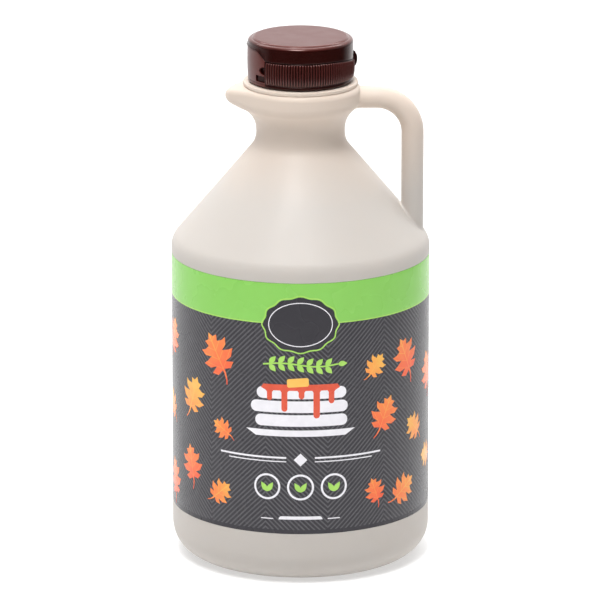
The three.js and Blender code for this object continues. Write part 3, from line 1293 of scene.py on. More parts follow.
@dataclass
class Label:
    """The wrap-round film and everything printed on it."""

    radius: float = 49.97
    thickness: float = 0.27
    bottom: float = 20.8
    top: float = 120.7
    band_bottom: float = 104.6
    edge_round: float = 0.05
    columns: int = 360
    inset: float = 0.05
    hem: float = 1.6
    band_line: float = 0.45
    lap: Pair = (-3.0, 4.0)
    stripe_pitch: float = 2.0
    stripe_width: float = 0.78
    stripe_bay: float = 24.2
    stripe_bays: int = 13
    stripe_valley: float = 10.6
    stripe_margins: Pair = (0.7, 1.0)
    stripe_radius: float = 49.975
    stripe_height: float = 0.03
    stripe_steps: int = 12
    stripe_least: float = 0.02
    badge_place: Pair = (0.0, 104.4)
    badge_half: Pair = (14.2, 10.6)
    badge_steps: int = 96
    badge_waves: int = 12
    badge_swell: float = 0.028
    badge_line: Triple = (1.03, 1.04, 0.5)
    badge_oval: Triple = (24.6, 17.2, 0.35)
    rings: Triple = (-13.0, 0.0, 13.0)
    ring: Triple = (39.6, 9.6, 0.8)
    leaf_length: float = 17.0
    leaf_warms: float = 0.45
    charcoal: Ink = Ink(linear(49, 47, 53), linear(51, 49, 55))
    grey: Ink = Ink(linear(84, 83, 87), linear(91, 90, 94))
    green: Ink = Ink(linear(136, 202, 91), linear(137, 204, 93))
    accent: Ink = Ink(linear(162, 214, 92), linear(172, 220, 104))
    white: Ink = Ink(linear(232, 230, 236), linear(240, 238, 243))
    syrup: Ink = Ink(linear(219, 82, 56), linear(226, 92, 64))
    butter: Ink = Ink(linear(248, 188, 84), linear(250, 196, 98))
    leaf: LeafInk = LeafInk()
    materials: dict[str, bpy.types.Material] = field(default_factory=dict)

    def sleeve(
        self, inner: float, outer: float, low: float, high: float, fillet: float = 0.01
    ) -> Shell:
        """A ring of film or ink, closed all round.

        Args:
            inner: Its inner radius.
            outer: Its outer radius.
            low: The height of its lower edge.
            high: The height of its upper edge.
            fillet: The rounding of its outer edges.

        Returns:
            The closed ring.
        """
        section = [(inner, low)]
        section += arc((outer - fillet, low + fillet), fillet, -90, 0, 3)
        section += straight((outer, low + fillet), (outer, high - fillet), 12)
        section += arc((outer - fillet, high - fillet), fillet, 0, 90, 3)
        section.append((inner, high))
        radius, z = (np.array(part)[:, None] for part in zip(*section))
        angles = round_angles(self.columns)[None, :]
        x, y = radius * np.cos(angles), radius * np.sin(angles)
        return Shell.from_rings(np.stack([x, y, z + 0 * angles], axis=-1), loop=True)

    def printed_sleeve(self, layer: Layer, low: float, high: float) -> Shell:
        """A ring of ink on the film, closed all round, between two heights."""
        return self.sleeve(Layer.FOOT.value, layer.value, low, high)

    def lapped(self, low: float, high: float) -> Artwork:
        """The lap at the back, where the film's end lies over its start.

        Args:
            low: The lap's lower end.
            high: The lap's upper end.

        Returns:
            The lap as a thin layer.
        """
        art = Artwork(Layer.LAP)
        start, end = (math.pi * self.radius + edge for edge in self.lap)
        art.add([(start, low), (end, low), (end, high), (start, high)])
        return art

    def pinstripes(self) -> bpy.types.Object:
        """The herringbone of fine lines, one bar for each line of each bay, cut off at the margins.

        Returns:
            The object, a plain mesh.
        """
        tree = GeometryTree("herringbone")
        bay, pitch, width = (tree.input(name) for name in ("Bay", "Pitch", "Line Width"))
        low, high = tree.input("Bottom"), tree.input("Top")
        bays, rows, steps = (tree.input(name, "Int") for name in ("Bays", "Rows", "Steps"))
        radius, thickness = tree.input("Radius"), tree.input("Thickness")
        shift, material = tree.input("Shift"), tree.input("Material", "Material")

        size = tree.vector(1.0, 1.0, 1.0)
        bar = tree.node("MeshCube", {"Size": size, "Vertices X": steps}).outputs[0]
        local = tree.node("InputPosition", {}).outputs[0]
        bar = tree.store(bar, "local", local, "FLOAT_VECTOR")

        across = tree.math("MULTIPLY", tree.math("SUBTRACT", bays, 1.0), bay)
        upward = tree.math("MULTIPLY", tree.math("SUBTRACT", rows, 1.0), pitch)
        links = {"Size X": across, "Size Y": upward, "Vertices X": bays, "Vertices Y": rows}
        grid = tree.node("MeshGrid", links).outputs[0]
        x, y, _ = tree.place()
        from_left = tree.math("ADD", x, tree.math("DIVIDE", across, 2.0))
        column = tree.math("ROUND", tree.math("DIVIDE", from_left, bay))
        falling = tree.math("MODULO", tree.math("ADD", column, 1.0), 2.0)
        height = tree.math("ADD", tree.math("ADD", y, tree.math("DIVIDE", upward, 2.0)), low)
        height = tree.math("SUBTRACT", height, bay)
        reach_low = tree.math("DIVIDE", tree.math("SUBTRACT", low, height), bay)
        reach_high = tree.math("DIVIDE", tree.math("SUBTRACT", high, height), bay)
        start = tree.node("ShaderNodeClamp", {0: reach_low}).outputs[0]
        end = tree.node("ShaderNodeClamp", {0: reach_high}).outputs[0]
        points = tree.store(grid, "start", start)
        points = tree.store(points, "end", end)
        points = tree.store(points, "falling", falling)
        points = tree.store(points, "left", tree.math("ADD", x, shift))
        points = tree.store(points, "height", height)

        length = tree.math("SUBTRACT", tree.named("end"), tree.named("start"))
        kept = tree.math("GREATER_THAN", length, self.stripe_least)
        links = {"Points": points, "Instance": bar, "Selection": kept}
        bars = tree.node("InstanceOnPoints", links).outputs[0]
        bars = tree.node("RealizeInstances", {"Geometry": bars}).outputs[0]
        along, side, out = tree.split(tree.named("local", "FLOAT_VECTOR"))
        share = tree.math("ADD", along, 0.5)
        climb = tree.math("ADD", tree.named("start"), tree.math("MULTIPLY", share, length))
        turned = tree.math("SUBTRACT", 1.0, climb)
        links = {0: tree.named("falling"), 2: climb, 3: turned}
        mixed = tree.node("ShaderNodeMix", links).outputs[0]
        u = tree.math("ADD", tree.named("left"), tree.math("MULTIPLY", mixed, bay))
        v = tree.math("ADD", tree.named("height"), tree.math("MULTIPLY", climb, bay))
        v = tree.math("ADD", v, tree.math("MULTIPLY", side, width))
        depth = tree.math("ADD", radius, tree.math("MULTIPLY", out, thickness))
        tree.finish(tree.wrap(bars, u, v, depth), material)

        obj = Shell(np.zeros((1, 3)), []).piece("label_pinstripes")
        lowest = self.bottom + self.stripe_margins[0]
        highest = self.band_bottom + self.stripe_margins[1]
        rise = highest - lowest + self.stripe_bay
        tree.run(obj, {
            "Bay": self.stripe_bay * MM,
            "Pitch": self.stripe_pitch * MM,
            "Line Width": self.stripe_width * MM,
            "Bottom": lowest * MM,
            "Top": highest * MM,
            "Bays": self.stripe_bays,
            "Rows": math.ceil(rise / self.stripe_pitch) + 1,
            "Steps": self.stripe_steps,
            "Radius": self.stripe_radius * MM,
            "Thickness": self.stripe_height * MM,
            "Shift": (self.stripe_valley - self.stripe_bay) * MM,
            "Material": self.materials["pinstripe"],
        })
        return obj

    def badge(self) -> tuple[Artwork, Artwork]:
        """The plain dark badge that straddles the band, and the pale line round it.

        Returns:
            The badge and its line.
        """
        ground, line = Artwork(Layer.OVER_MOTIF), Artwork(Layer.OVER_BADGE)
        half_width, half_height = self.badge_half
        edge = []
        for i in range(self.badge_steps):
            angle = 360.0 * i / self.badge_steps
            swell = 1.0 + self.badge_swell * cosd(angle * self.badge_waves)
            edge.append((half_width * swell * cosd(angle), half_height * swell * sind(angle)))
        ground.add(edge, self.badge_place)
        across, up = self.badge_place
        wider, higher, width = self.badge_line
        line.line([(across + x * wider, up + y * higher) for x, y in edge], width, closed=True)
        return ground, line

    def badge_details(self) -> Artwork:
        """The fine white oval on the badge.

        Returns:
            The artwork.
        """
        art = Artwork(Layer.BADGE_OVAL)
        across, up = self.badge_place
        wide, high, width = self.badge_oval
        art.line([(across + x, up + y) for x, y in oval(wide, high, 64)], width, closed=True)
        return art

    def white_print(self) -> Artwork:
        """The white motifs: a stack of pancakes on its plate, rules, a row of rings and bars.

        Returns:
            The artwork.
        """
        art = Artwork(Layer.MOTIF)
        thickness, corner, lowest, pitch = 4.6, 2.2, 66.2, 5.5
        for i, (width, shift) in enumerate(((36.0, 0.3), (38.0, -0.5), (35.0, 0.4))):
            art.add(pill(width, thickness, corner), (shift, lowest + pitch * i))
        plate = [(-21.5, 62.4), (21.5, 62.4), (17.5, 59.9), (-17.5, 59.9)]
        art.add(plate)
        for side in (-1, 1):
            for far, low, high in ((33, 51.0, 51.7), (29, 49.6, 50.0)):
                near_x, far_x = side * 5.5, side * far
                rule = [(near_x, low), (far_x, low), (far_x, high), (near_x, high)]
                art.add(rule[::side])
        diamond = [(0, 48.0), (2.6, 50.6), (0, 53.2), (-2.6, 50.6)]
        art.add(diamond)
        ring_z, ring_size, ring_line = self.ring
        for ring_x in self.rings:
            ring = oval(ring_size, ring_size, 36)
            art.line([(ring_x + x, ring_z + y) for x, y in ring], ring_line, closed=True)
        art.add(pill(17.0, 2.6, 1.3), (0, 26.6))
        for side in (-1, 1):
            art.add(pill(5.0, 0.8, 0.4), (side * 13.0, 26.6))
        return art

    def accent_print(self) -> Artwork:
        """The light green sprig under the badge and the sprouts in the rings.

        Returns:
            The artwork.
        """
        art = Artwork(Layer.MOTIF)
        shares = [i / 24 for i in range(25)]
        left, length, height, wave, thickness = -14.5, 29.0, 88.4, 0.7, 0.6
        stem = [(left + length * s, height + wave * sind(360.0 * s)) for s in shares]
        art.line(stem, thickness)
        leaflet, sprout = pointed(3.8, 2.1), pointed(4.4, 2.0)
        for x, y in stem[2:21:3]:
            art.add(leaflet, (x, y + 0.2), turn=-42.0)
            art.add(leaflet, (x, y - 0.2), turn=-138.0)
        art.add(leaflet, stem[-1], turn=-90.0)
        for ring_x in self.rings:
            for turn in (32.0, -32.0):
                art.add(sprout, (ring_x, 37.6), turn=turn)
        return art

    def syrup_print(self) -> Artwork:
        """The syrup that runs over the stack.

        Returns:
            The artwork.
        """
        art = Artwork(Layer.OVER_MOTIF)
        top = 80.6
        drips = (
            (-12.0, 5.4, 2.0), (-6.2, 9.6, 2.3), (0.4, 4.6, 2.2),
            (6.2, 12.2, 2.5), (12.0, 6.6, 2.2),
        )
        outline: list[Pair] = [(15.4, top - 1.4), (14.4, top), (-14.4, top), (-15.4, top - 1.4)]
        for x, drop, width in drips:
            half = width / 2
            outline += [(x - half - 0.5, top - 2.4), (x - half, top - 3.1)]
            outline += arc((x, top - drop), half, 180, 360, 10)
            outline += [(x + half, top - 3.1), (x + half + 0.5, top - 2.4)]
        art.add(outline)
        return art

    def butter_print(self) -> Artwork:
        """The pat of butter on the stack.

        Returns:
            The artwork.
        """
        art = Artwork(Layer.OVER_BADGE)
        art.add(pill(8.4, 3.4, 0.8), (-1.0, 81.4), turn=4.0)
        return art

    def leaf_outline(self) -> list[Pair]:
        """The outline of one leaf with pointed lobes on both sides of its rib, 1 long.

        Returns:
            The outline.
        """
        right = [(0.025, 0.0), (0.03, 0.1), (0.2, 0.05), (0.34, 0.15), (0.15, 0.24), (0.34, 0.28)]
        right += [(0.48, 0.44), (0.36, 0.45), (0.18, 0.5), (0.34, 0.58), (0.41, 0.74), (0.29, 0.71)]
        right += [(0.15, 0.74), (0.2, 0.88), (0.08, 0.88)]
        left = [(-x, y - 0.02) for x, y in right[::-1]]
        stem = [(-0.025, 0.0), (-0.05, -0.14), (-0.1, -0.24), (-0.075, -0.25), (-0.015, -0.14)]
        return right + [(0.0, 1.0)] + left[:-1] + stem

    def leaves(self) -> bpy.types.Object:
        """The falling leaves: one leaf set out at each place of a plan and laid round the label.

        Returns:
            The object, a plain mesh.
        """
        tree = GeometryTree("falling_leaves")
        plan, material = tree.input("Plan", "Object"), tree.input("Material", "Material")
        x, y, _ = tree.place()
        whole = tree.input("Leaf Length")
        along = tree.math("DIVIDE", y, whole)
        across = tree.math("DIVIDE", tree.math("ABSOLUTE", x), whole)
        blank = tree.store(tree.blank, LEAF_TINT, tree.math("MULTIPLY", along, self.leaf_warms))
        blank = tree.store(tree.store(blank, LEAF_ALONG, along), LEAF_ACROSS, across)
        info = tree.node("ObjectInfo", {"Object": plan}, transform_space="ORIGINAL")
        size = tree.named("size")
        links = {
            "Points": info.outputs["Geometry"],
            "Instance": blank,
            "Rotation": tree.vector(0.0, 0.0, tree.named("turn")),
            "Scale": tree.vector(size, size, 1.0),
        }
        scattered = tree.node("InstanceOnPoints", links).outputs[0]
        scattered = tree.node("RealizeInstances", {"Geometry": scattered}).outputs[0]
        tint = tree.math("ADD", tree.named(LEAF_TINT), tree.named("warmth"))
        scattered = tree.store(scattered, LEAF_TINT, tint)
        u, v, radius = tree.place()
        tree.finish(tree.wrap(scattered, u, v, radius), material)

        art = Artwork(Layer.MOTIF, cell=1.8)
        art.add(self.leaf_outline(), size=self.leaf_length)
        leaf = art.flat_piece("label_leaves")
        rows = self.leaf_plan()
        places = np.array([(u, v, 0.0) for u, v, _, _, _ in rows])
        plan_object = Shell(places, []).piece("leaf_plan")
        for index, name in ((2, "size"), (3, "turn"), (4, "warmth")):
            attribute = plan_object.data.attributes.new(name, "FLOAT", "POINT")
            attribute.data.foreach_set("value", [row[index] for row in rows])
        tree.run(leaf, {
            "Plan": plan_object,
            "Leaf Length": self.leaf_length * MM,
            "Material": self.materials["leaf"],
        })
        bpy.data.objects.remove(plan_object)
        return leaf

    def leaf_plan(self) -> list[tuple[float, float, float, float, float]]:
        """Where each leaf lies.

        Returns:
            For each leaf its place, its size, its turn in radians and how far it is towards amber.
        """
        front = [
            (-35.0, 90.0, 1.0, 30, 0.05), (-48.5, 71.0, 0.9, -20, 0.5),
            (-32.5, 60.5, 0.55, 60, 0.2), (-50.0, 43.0, 0.85, 12, 0.0),
            (-33.0, 35.0, 0.65, -50, 0.3), (31.0, 86.0, 0.6, -40, 0.5), (47.0, 86.5, 0.95, 25, 0.0),
            (35.5, 66.0, 0.85, -25, 0.1), (53.0, 57.0, 0.7, 50, 0.45), (30.5, 36.0, 0.6, 20, 0.0),
            (46.5, 33.5, 0.8, -60, 0.25),
        ]
        sides = [
            (-68.0, 90.0, 0.9, -20, 0.1), (-71.0, 62.0, 0.75, 50, 0.4), (-67.0, 33.0, 0.9, 10, 0.0),
            (68.0, 76.0, 0.95, 15, 0.05), (66.0, 42.0, 0.7, 80, 0.5), (-92.0, 76.0, 0.8, 30, 0.2),
            (90.0, 92.0, 0.7, 25, 0.45), (88.0, 55.0, 0.85, -35, 0.1),
            (-90.0, 44.0, 0.7, -70, 0.05),
        ]
        back = [
            (112.0, 74.0, 0.8, 60, 0.3), (-114.0, 62.0, 0.85, -30, 0.0),
            (118.0, 38.0, 0.65, -20, 0.5), (-116.0, 92.0, 0.6, 70, 0.45),
            (136.0, 90.0, 0.9, 10, 0.05), (-137.0, 36.0, 0.8, 35, 0.25),
            (-140.0, 76.0, 0.7, -60, 0.1), (139.0, 56.0, 0.7, -45, 0.4),
        ]
        rows = []
        for u, v, size, turn, warmth in front + sides + back:
            half = self.leaf_length * size / 2
            foot_u, foot_v = u + half * sind(turn), v - half * cosd(turn)
            rows.append((foot_u, foot_v, size, math.radians(turn), warmth))
        return rows

    def build(self) -> None:
        """Builds the film and each ink on it."""
        inks = {
            "film": ("charcoal_film", self.charcoal), "pinstripe": ("pinstripe_ink", self.grey),
            "green": ("green_ink", self.green), "accent": ("light_green_ink", self.accent),
            "white": ("white_ink", self.white), "syrup": ("syrup_ink", self.syrup),
            "butter": ("butter_ink", self.butter), "leaf": ("leaf_ink", self.leaf),
        }
        self.materials = {key: ink.material(name) for key, (name, ink) in inks.items()}
        low, high = self.bottom + self.inset, self.top - self.inset
        inner = self.radius - self.thickness
        film = self.sleeve(inner, self.radius, self.bottom, self.top, self.edge_round)
        self.keep(film.piece("label_film"), "film", "label")
        enrol(self.pinstripes())
        hem = self.printed_sleeve(Layer.HEM, low, self.bottom + self.hem)
        self.keep(hem.piece("label_hem"), "film")
        band = self.printed_sleeve(Layer.BAND, self.band_bottom, high)
        self.keep(band.piece("label_band"), "green")
        line_top = self.band_bottom + self.band_line
        line = self.printed_sleeve(Layer.BAND_LINE, self.band_bottom, line_top)
        self.keep(line.piece("label_band_line"), "accent")
        badge, badge_line = self.badge()
        self.keep(badge.piece("label_badge"), "film")
        self.keep(badge_line.piece("label_badge_line"), "accent")
        self.keep(self.white_print().piece("label_white_print"), "white")
        self.keep(self.badge_details().piece("label_badge_oval"), "white")
        self.keep(self.accent_print().piece("label_sprig"), "accent")
        self.keep(self.syrup_print().piece("label_syrup"), "syrup")
        self.keep(self.butter_print().piece("label_butter"), "butter")
        self.keep(self.lapped(low, self.band_bottom).piece("label_lap"), "film")
        self.keep(self.lapped(self.band_bottom, high).piece("label_lap_band"), "green")
        leaves = self.leaves()
        leaves.data.shade_flat()
        enrol(leaves)

    def keep(self, obj: bpy.types.Object, material: str, stands_for: Optional[str] = None) -> None:
        """Dresses one printed layer and enrols it.

        Args:
            obj: The layer.
            material: Which of the label's materials it gets.
            stands_for: The CAD node that it replaces, if it replaces one.
        """
        dress(obj, self.materials[material], sharp=50.0)
        enrol(obj, stands_for)


@dataclass(frozen=True)
class Pocket:
    """One pocket beside the thumb panel: its ends are angles from the panel's middle."""

    start: float
    end: float
    low: float
    high: float
    rounded: bool
    corner: float = 0.35

    def outline(self, radius: float) -> list[Pair]:
        """The pocket's outline, from its edge towards the ribs.

        Args:
            radius: The radius of the side that it is cut into.

        Returns:
            The outline's points, across and upwards from the middle of that edge.
        """
        width, half = radius * math.radians(self.end - self.start), (self.high - self.low) / 2
        if self.rounded:
            return [(width * cosd(a), half * sind(a)) for a in range(90, 271, 6)]
        corner = self.corner
        points = [(0.0, half)] + arc((-width + corner, half - corner), corner, 90, 180, 5)
        return points + arc((-width + corner, -half + corner), corner, 180, 270, 5) + [(0.0, -half)]


@dataclass
class Cap:
    """The screw cap: ribbed base with thumb panel, pockets and hinge strap, and the lid.

    Built in its own frame, with the thumb panel at -X and the hinge at +X, then turned.
    """

    finish: MouldedPlastic
    painted_lit_rib_finish: MouldedPlastic
    turn: float = 16.0
    columns: int = 360
    centre: float = 4.0
    flat_ring: Pair = (18.0, 18.4)
    bottom: float = 188.8
    band: Pair = (20.2, 190.1)
    band_round: float = 0.2
    band_step: float = 0.08
    chamfer: float = 0.5
    root: float = 20.4
    panel: float = 20.5
    barrel: Triple = (195.0, 0.45, 0.1)
    panel_half: float = 32.0
    panel_step: float = 0.6
    panel_inside: float = 19.85
    rib_count: int = 120
    rib_depth: float = 0.52
    rib_width: float = 0.66
    rib_bottom: float = 190.35
    rib_top_gap: float = 0.2
    rib_end: float = 0.08
    rib_bow: float = 0.2
    rib_sunk: float = 0.2
    hinge_clear: float = 14.0
    split: float = 199.0
    split_round: float = 0.1
    gap: float = 0.3
    level: float = 1.0
    arch: Triple = (3.7, 16.0, 32.0)
    arch_fullness: float = 1.1
    dip: Pair = (2.2, 75.0)
    lid_radius: float = 20.35
    lid_fillet: float = 1.5
    lid_side_top: float = 205.4
    lid_top: float = 206.0
    disc: Pair = (18.7, 1.4)
    disc_lean: float = 35.0
    catch: Pair = (0.45, 203.8)
    hinge_z: Pair = (193.4, 199.6)
    hinge_reach: float = 21.65
    hinge_root: float = 19.6
    hinge_half: float = 4.2
    hinge_corner: float = 0.3
    strap_back: float = 0.02
    strap_fullness: float = 0.6
    strap_groove: Triple = (0.25, 0.86, 0.04)
    pocket_floor: float = 19.1
    pocket_reach: Pair = (0.6, 1.5)
    pockets: tuple[Pocket, ...] = (
        Pocket(23.3, 31.4, 193.7, 196.9, rounded=True),
        Pocket(17.0, 31.4, 190.6, 193.2, rounded=False),
    )

    def arch_share(self, degrees: float) -> float:
        """Share of the arch over the thumb panel at an angle about the cap's axis.

        Args:
            degrees: The angle.

        Returns:
            The share, 1 over the panel's middle and 0 beside the arch.
        """
        _, flat, foot = self.arch
        share = clamp((foot - (180.0 - abs(degrees))) / (foot - flat))
        return sind(90.0 * share) ** self.arch_fullness

    def split_rise(self, degrees: float) -> float:
        """Height of the split line over its usual height at an angle about the cap's axis.

        Args:
            degrees: The angle.

        Returns:
            The height, below zero where the line dips.
        """
        depth, span = self.dip
        share = min(abs(degrees) / span, 1.0)
        return self.arch[0] * self.arch_share(degrees) - depth * (1 + cosd(180 * share)) / 2

    def lathe(self, section: Sequence[Pair], rule: Callable[[float, float, float], Pair]) -> Shell:
        """Turns a section about the axis and moves each point by a rule.

        Args:
            section: The section, upwards.
            rule: Gives the new radius and height from the radius, the height and the angle.

        Returns:
            The closed surface, turned to where the cap was screwed to.
        """
        edges = (180.0 - self.panel_half, self.panel_half - 180.0)
        angles = round_angles(self.columns, edges, (0.25, 0.5))
        rings = np.zeros((len(section), len(angles), 3))
        for j, angle in enumerate(angles):
            for i, (radius, z) in enumerate(section):
                radius, z = rule(radius, z, math.degrees(angle))
                rings[i, j] = (radius * math.cos(angle), radius * math.sin(angle), z)
        return Shell.from_rings(rings).turned(self.turn)

    def side(self, degrees: float) -> float:
        """Widest radius of the base's side: the panel stands a little further out.

        Args:
            degrees: The angle about the cap's axis.

        Returns:
            The radius.
        """
        from_panel = 180.0 - abs(degrees)
        share = ease((from_panel - self.panel_half + self.panel_step) / (2 * self.panel_step))
        return self.panel + (self.root - self.panel) * share

    def drawn_in(self, z: float) -> float:
        """How far inside its widest radius the base's barrel-shaped side lies at a height.

        Args:
            z: The height.

        Returns:
            The distance.
        """
        widest, foot_in, head_in = self.barrel
        if z < widest:
            return foot_in * ((widest - z) / (widest - self.bottom)) ** 2
        return head_in * ((z - widest) / (self.split - widest)) ** 2

    def skirt(self) -> Shell:
        """The base without its ribs.

        Returns:
            The closed surface.
        """
        band_r, band_z = self.band
        flat_start, flat_end = self.flat_ring
        chamfer, band_round, edge = self.chamfer, self.band_round, self.split_round
        section = [(self.centre, self.bottom), (flat_start, self.bottom)]
        section += arc((band_r - chamfer, self.bottom + chamfer), chamfer, -90, 0, 6)
        section += arc((band_r - band_round, band_z - band_round), band_round, 0, 80, 4)
        low = len(section)
        section.append((self.root, band_z + self.band_step))
        section += straight((self.root, band_z), (self.root, self.split), 12)
        section += arc((self.root - edge, self.split - edge), edge, 0, 90, 4)
        section += [(radius, self.split) for radius in (flat_end, flat_start, self.centre)]
        order = {point: i for i, point in enumerate(section)}
        level_z = band_z + self.level

        def rule(radius: float, z: float, degrees: float) -> Pair:
            """Brings the side in at the panel and lets its top follow the split.

            Args:
                radius: A point's radius in the section.
                z: Its height.
                degrees: Its angle about the cap's axis.

            Returns:
                Its new radius and height.
            """
            moved = z
            if radius > flat_start and z > band_z:
                share = clamp((z - level_z) / (self.split - edge - level_z))
                moved = z + self.split_rise(degrees) * share
            if order[(radius, z)] >= low and radius > flat_end:
                radius += self.side(degrees) - self.root - self.drawn_in(z)
            return radius, moved

        return self.lathe(section, rule)

    def lid(self) -> Shell:
        """The lid without the notch for its hinge.

        Returns:
            The closed surface.
        """
        under, side_top = self.split + self.gap, self.lid_side_top
        outer, edge, fillet = self.lid_radius, self.split_round, self.lid_fillet
        flat_start, flat_end = self.flat_ring
        section = [(radius, under) for radius in (self.centre, flat_start, flat_end)]
        section += arc((outer - edge, under + edge), edge, -90, 0, 4)
        section += straight((outer, under + edge), (outer, side_top - fillet), 14)
        section += arc((outer - fillet, side_top - fillet), fillet, 0, 90, 12)
        disc_r, disc_round = self.disc
        flat_r, lean = disc_r - disc_round, self.disc_lean
        for angle in np.linspace(lean, 90.0, 10):
            rise = (sind(angle) - sind(lean)) / (1.0 - sind(lean))
            radius = flat_r + disc_round * cosd(angle) / cosd(lean)
            section.append((radius, side_top + (self.lid_top - side_top) * rise))
        section += straight((flat_r, self.lid_top), (self.centre, self.lid_top), 6)
        section.append((self.centre, self.lid_top))
        bulge, catch_top = self.catch

        def rule(radius: float, z: float, degrees: float) -> Pair:
            """Lets the underside follow the split and swells the catch over the panel.

            Args:
                radius: A point's radius in the section.
                z: Its height.
                degrees: Its angle about the cap's axis.

            Returns:
                Its new radius and height.
            """
            moved = z
            if radius > flat_start and z < catch_top:
                share = clamp((catch_top - z) / (catch_top - under))
                moved = z + self.split_rise(degrees) * share
                if radius > flat_end:
                    radius += bulge * self.arch_share(degrees) * share
            return radius, moved

        return self.lathe(section, rule)

    def pocket(self, pocket: Pocket, side: int) -> Shell:
        """The cutter of one pocket beside the thumb panel.

        Args:
            pocket: The pocket.
            side: 1 or -1, the side of the panel.

        Returns:
            The closed surface.
        """
        outline = pocket.outline(self.panel)
        angle = 180.0 + side * pocket.end
        outward = np.array([cosd(angle), sind(angle), 0.0])
        along = np.array([-sind(angle), cosd(angle), 0.0]) * side
        middle = np.array([0.0, 0.0, (pocket.low + pocket.high) / 2])
        rings = []
        near, past = self.pocket_reach
        for depth in (self.pocket_floor, self.pocket_floor + near, self.panel + past):
            start = middle + outward * depth
            rings.append([start + along * x + np.array([0, 0, z]) for x, z in outline])
        return Shell.from_rings(np.array(rings)).turned(self.turn)

    def box(self, x: Pair, half: float, z: Pair) -> Shell:
        """A plain block across the hinge, for cutting.

        Args:
            x: From where to where it reaches outwards.
            half: Half its width.
            z: From where to where it reaches upwards.

        Returns:
            The closed surface.
        """
        corners = [(x[1], -half), (x[1], half), (x[0], half), (x[0], -half)]
        rings = np.array([[(cx, cy, cz) for cx, cy in corners] for cz in z])
        return Shell.from_rings(rings).turned(self.turn)

    def strap(self) -> Shell:
        """The hinge strap, which bulges outwards between its two thin hinges.

        Returns:
            The closed surface.
        """
        low, high = self.hinge_z
        depth, groove_at, groove_width = self.strap_groove
        rings = []
        for share in [i / 24 for i in range(25)]:
            swell = (4 * share * (1 - share)) ** self.strap_fullness
            groove = depth * (math.exp(-(((share - groove_at) / groove_width) ** 2)))
            x = self.root + (self.hinge_reach - self.root) * swell - groove
            rings.append(self.strap_ring(x - self.strap_back, low + (high - low) * share))
        return Shell.from_rings(np.array(rings)).turned(self.turn)

    def strap_ring(self, reach: float, z: float) -> list[Triple]:
        """One level ring of the hinge strap, its outer corners rounded.

        Args:
            reach: How far out the ring reaches.
            z: Its height.

        Returns:
            The ring's points.
        """
        half, fillet = self.hinge_half, self.hinge_corner
        outer = arc((reach - fillet, half - fillet), fillet, 0, 90, 4)
        ring = [(x, -y) for x, y in outer[::-1]] + outer
        return [(x, y, z) for x, y in ring + [(self.hinge_root, half), (self.hinge_root, -half)]]

    def rib_blank(self) -> Shell:
        """One rib, standing at the angle 0, slightly bowed and with rounded ends.

        Returns:
            The closed surface.
        """
        low, high = self.rib_bottom, self.split - self.rib_top_gap
        section = [(-0.3, 0.5), (0.0, 0.5), (0.55, 0.4), (0.9, 0.2), (1.0, 0.0)]
        section += [(x, -y) for x, y in section[-2::-1]]
        rings = []
        for share in (0.0, 0.03, 0.08, 0.3, 0.5, 0.7, 0.92, 0.97, 1.0):
            end = min(share, 1 - share) / self.rib_end
            full = math.sqrt(1 - (1 - min(end, 1.0)) ** 2)
            bow = 1 - self.rib_bow + self.rib_bow * math.sin(math.pi * share)
            depth = self.rib_depth * bow * full
            z = low + (high - low) * share
            foot = self.drawn_in(z)
            points = [(max(x * depth, -self.rib_sunk) - foot, y) for x, y in section]
            rings.append([(x, -y * self.rib_width, z) for x, y in points])
        return Shell.from_rings(np.array(rings))

    def ribs(self, material: bpy.types.Material) -> bpy.types.Object:
        """The ribs round the base, one blank set out round the axis by Geometry Nodes.

        Args:
            material: The ribs' material.

        Returns:
            The object, a plain mesh.
        """
        tree = GeometryTree("ribs_round_the_cap")
        count, radius = tree.input("Count", "Int"), tree.input("Radius")
        panel, hinge = tree.input("Panel Half Angle"), tree.input("Hinge Half Angle")
        low, high = tree.input("Bottom"), tree.input("Top")
        depth, span, turn = tree.input("Dip Depth"), tree.input("Dip Span"), tree.input("Turn")
        paint = tree.input("Material", "Material")

        circle = tree.node("MeshCircle", {"Vertices": count, "Radius": radius}).outputs[0]
        step = tree.vector(0.0, 0.0, tree.math("DIVIDE", math.pi, count))
        circle = tree.node("Transform", {"Geometry": circle, "Rotation": step}).outputs[0]
        x, y, _ = tree.place()
        angle = tree.math("ARCTAN2", y, x)
        apart = tree.math("ABSOLUTE", angle)
        clear = tree.math("GREATER_THAN", apart, hinge)
        ribbed = tree.math("LESS_THAN", apart, tree.math("SUBTRACT", math.pi, panel))
        links = {
            "Points": circle,
            "Selection": tree.math("MULTIPLY", clear, ribbed),
            "Instance": tree.blank,
            "Rotation": tree.vector(0.0, 0.0, angle),
        }
        ribs = tree.node("InstanceOnPoints", links).outputs[0]
        ribs = tree.node("RealizeInstances", {"Geometry": ribs}).outputs[0]
        x, y, z = tree.place()
        share = tree.math("DIVIDE", tree.math("ABSOLUTE", tree.math("ARCTAN2", y, x)), span)
        share = tree.math("MULTIPLY", tree.math("MINIMUM", share, 1.0), math.pi)
        wave = tree.math("ADD", tree.math("COSINE", share), 1.0)
        rise = tree.math("MULTIPLY", tree.math("MULTIPLY", wave, -0.5), depth)
        climb = tree.math("SUBTRACT", z, low)
        climb = tree.math("DIVIDE", climb, tree.math("SUBTRACT", high, low))
        offset = tree.vector(0.0, 0.0, tree.math("MULTIPLY", rise, climb))
        ribs = tree.node("SetPosition", {"Geometry": ribs, "Offset": offset}).outputs[0]
        links = {"Geometry": ribs, "Rotation": tree.vector(0.0, 0.0, turn)}
        tree.finish(tree.node("Transform", links).outputs[0], paint)

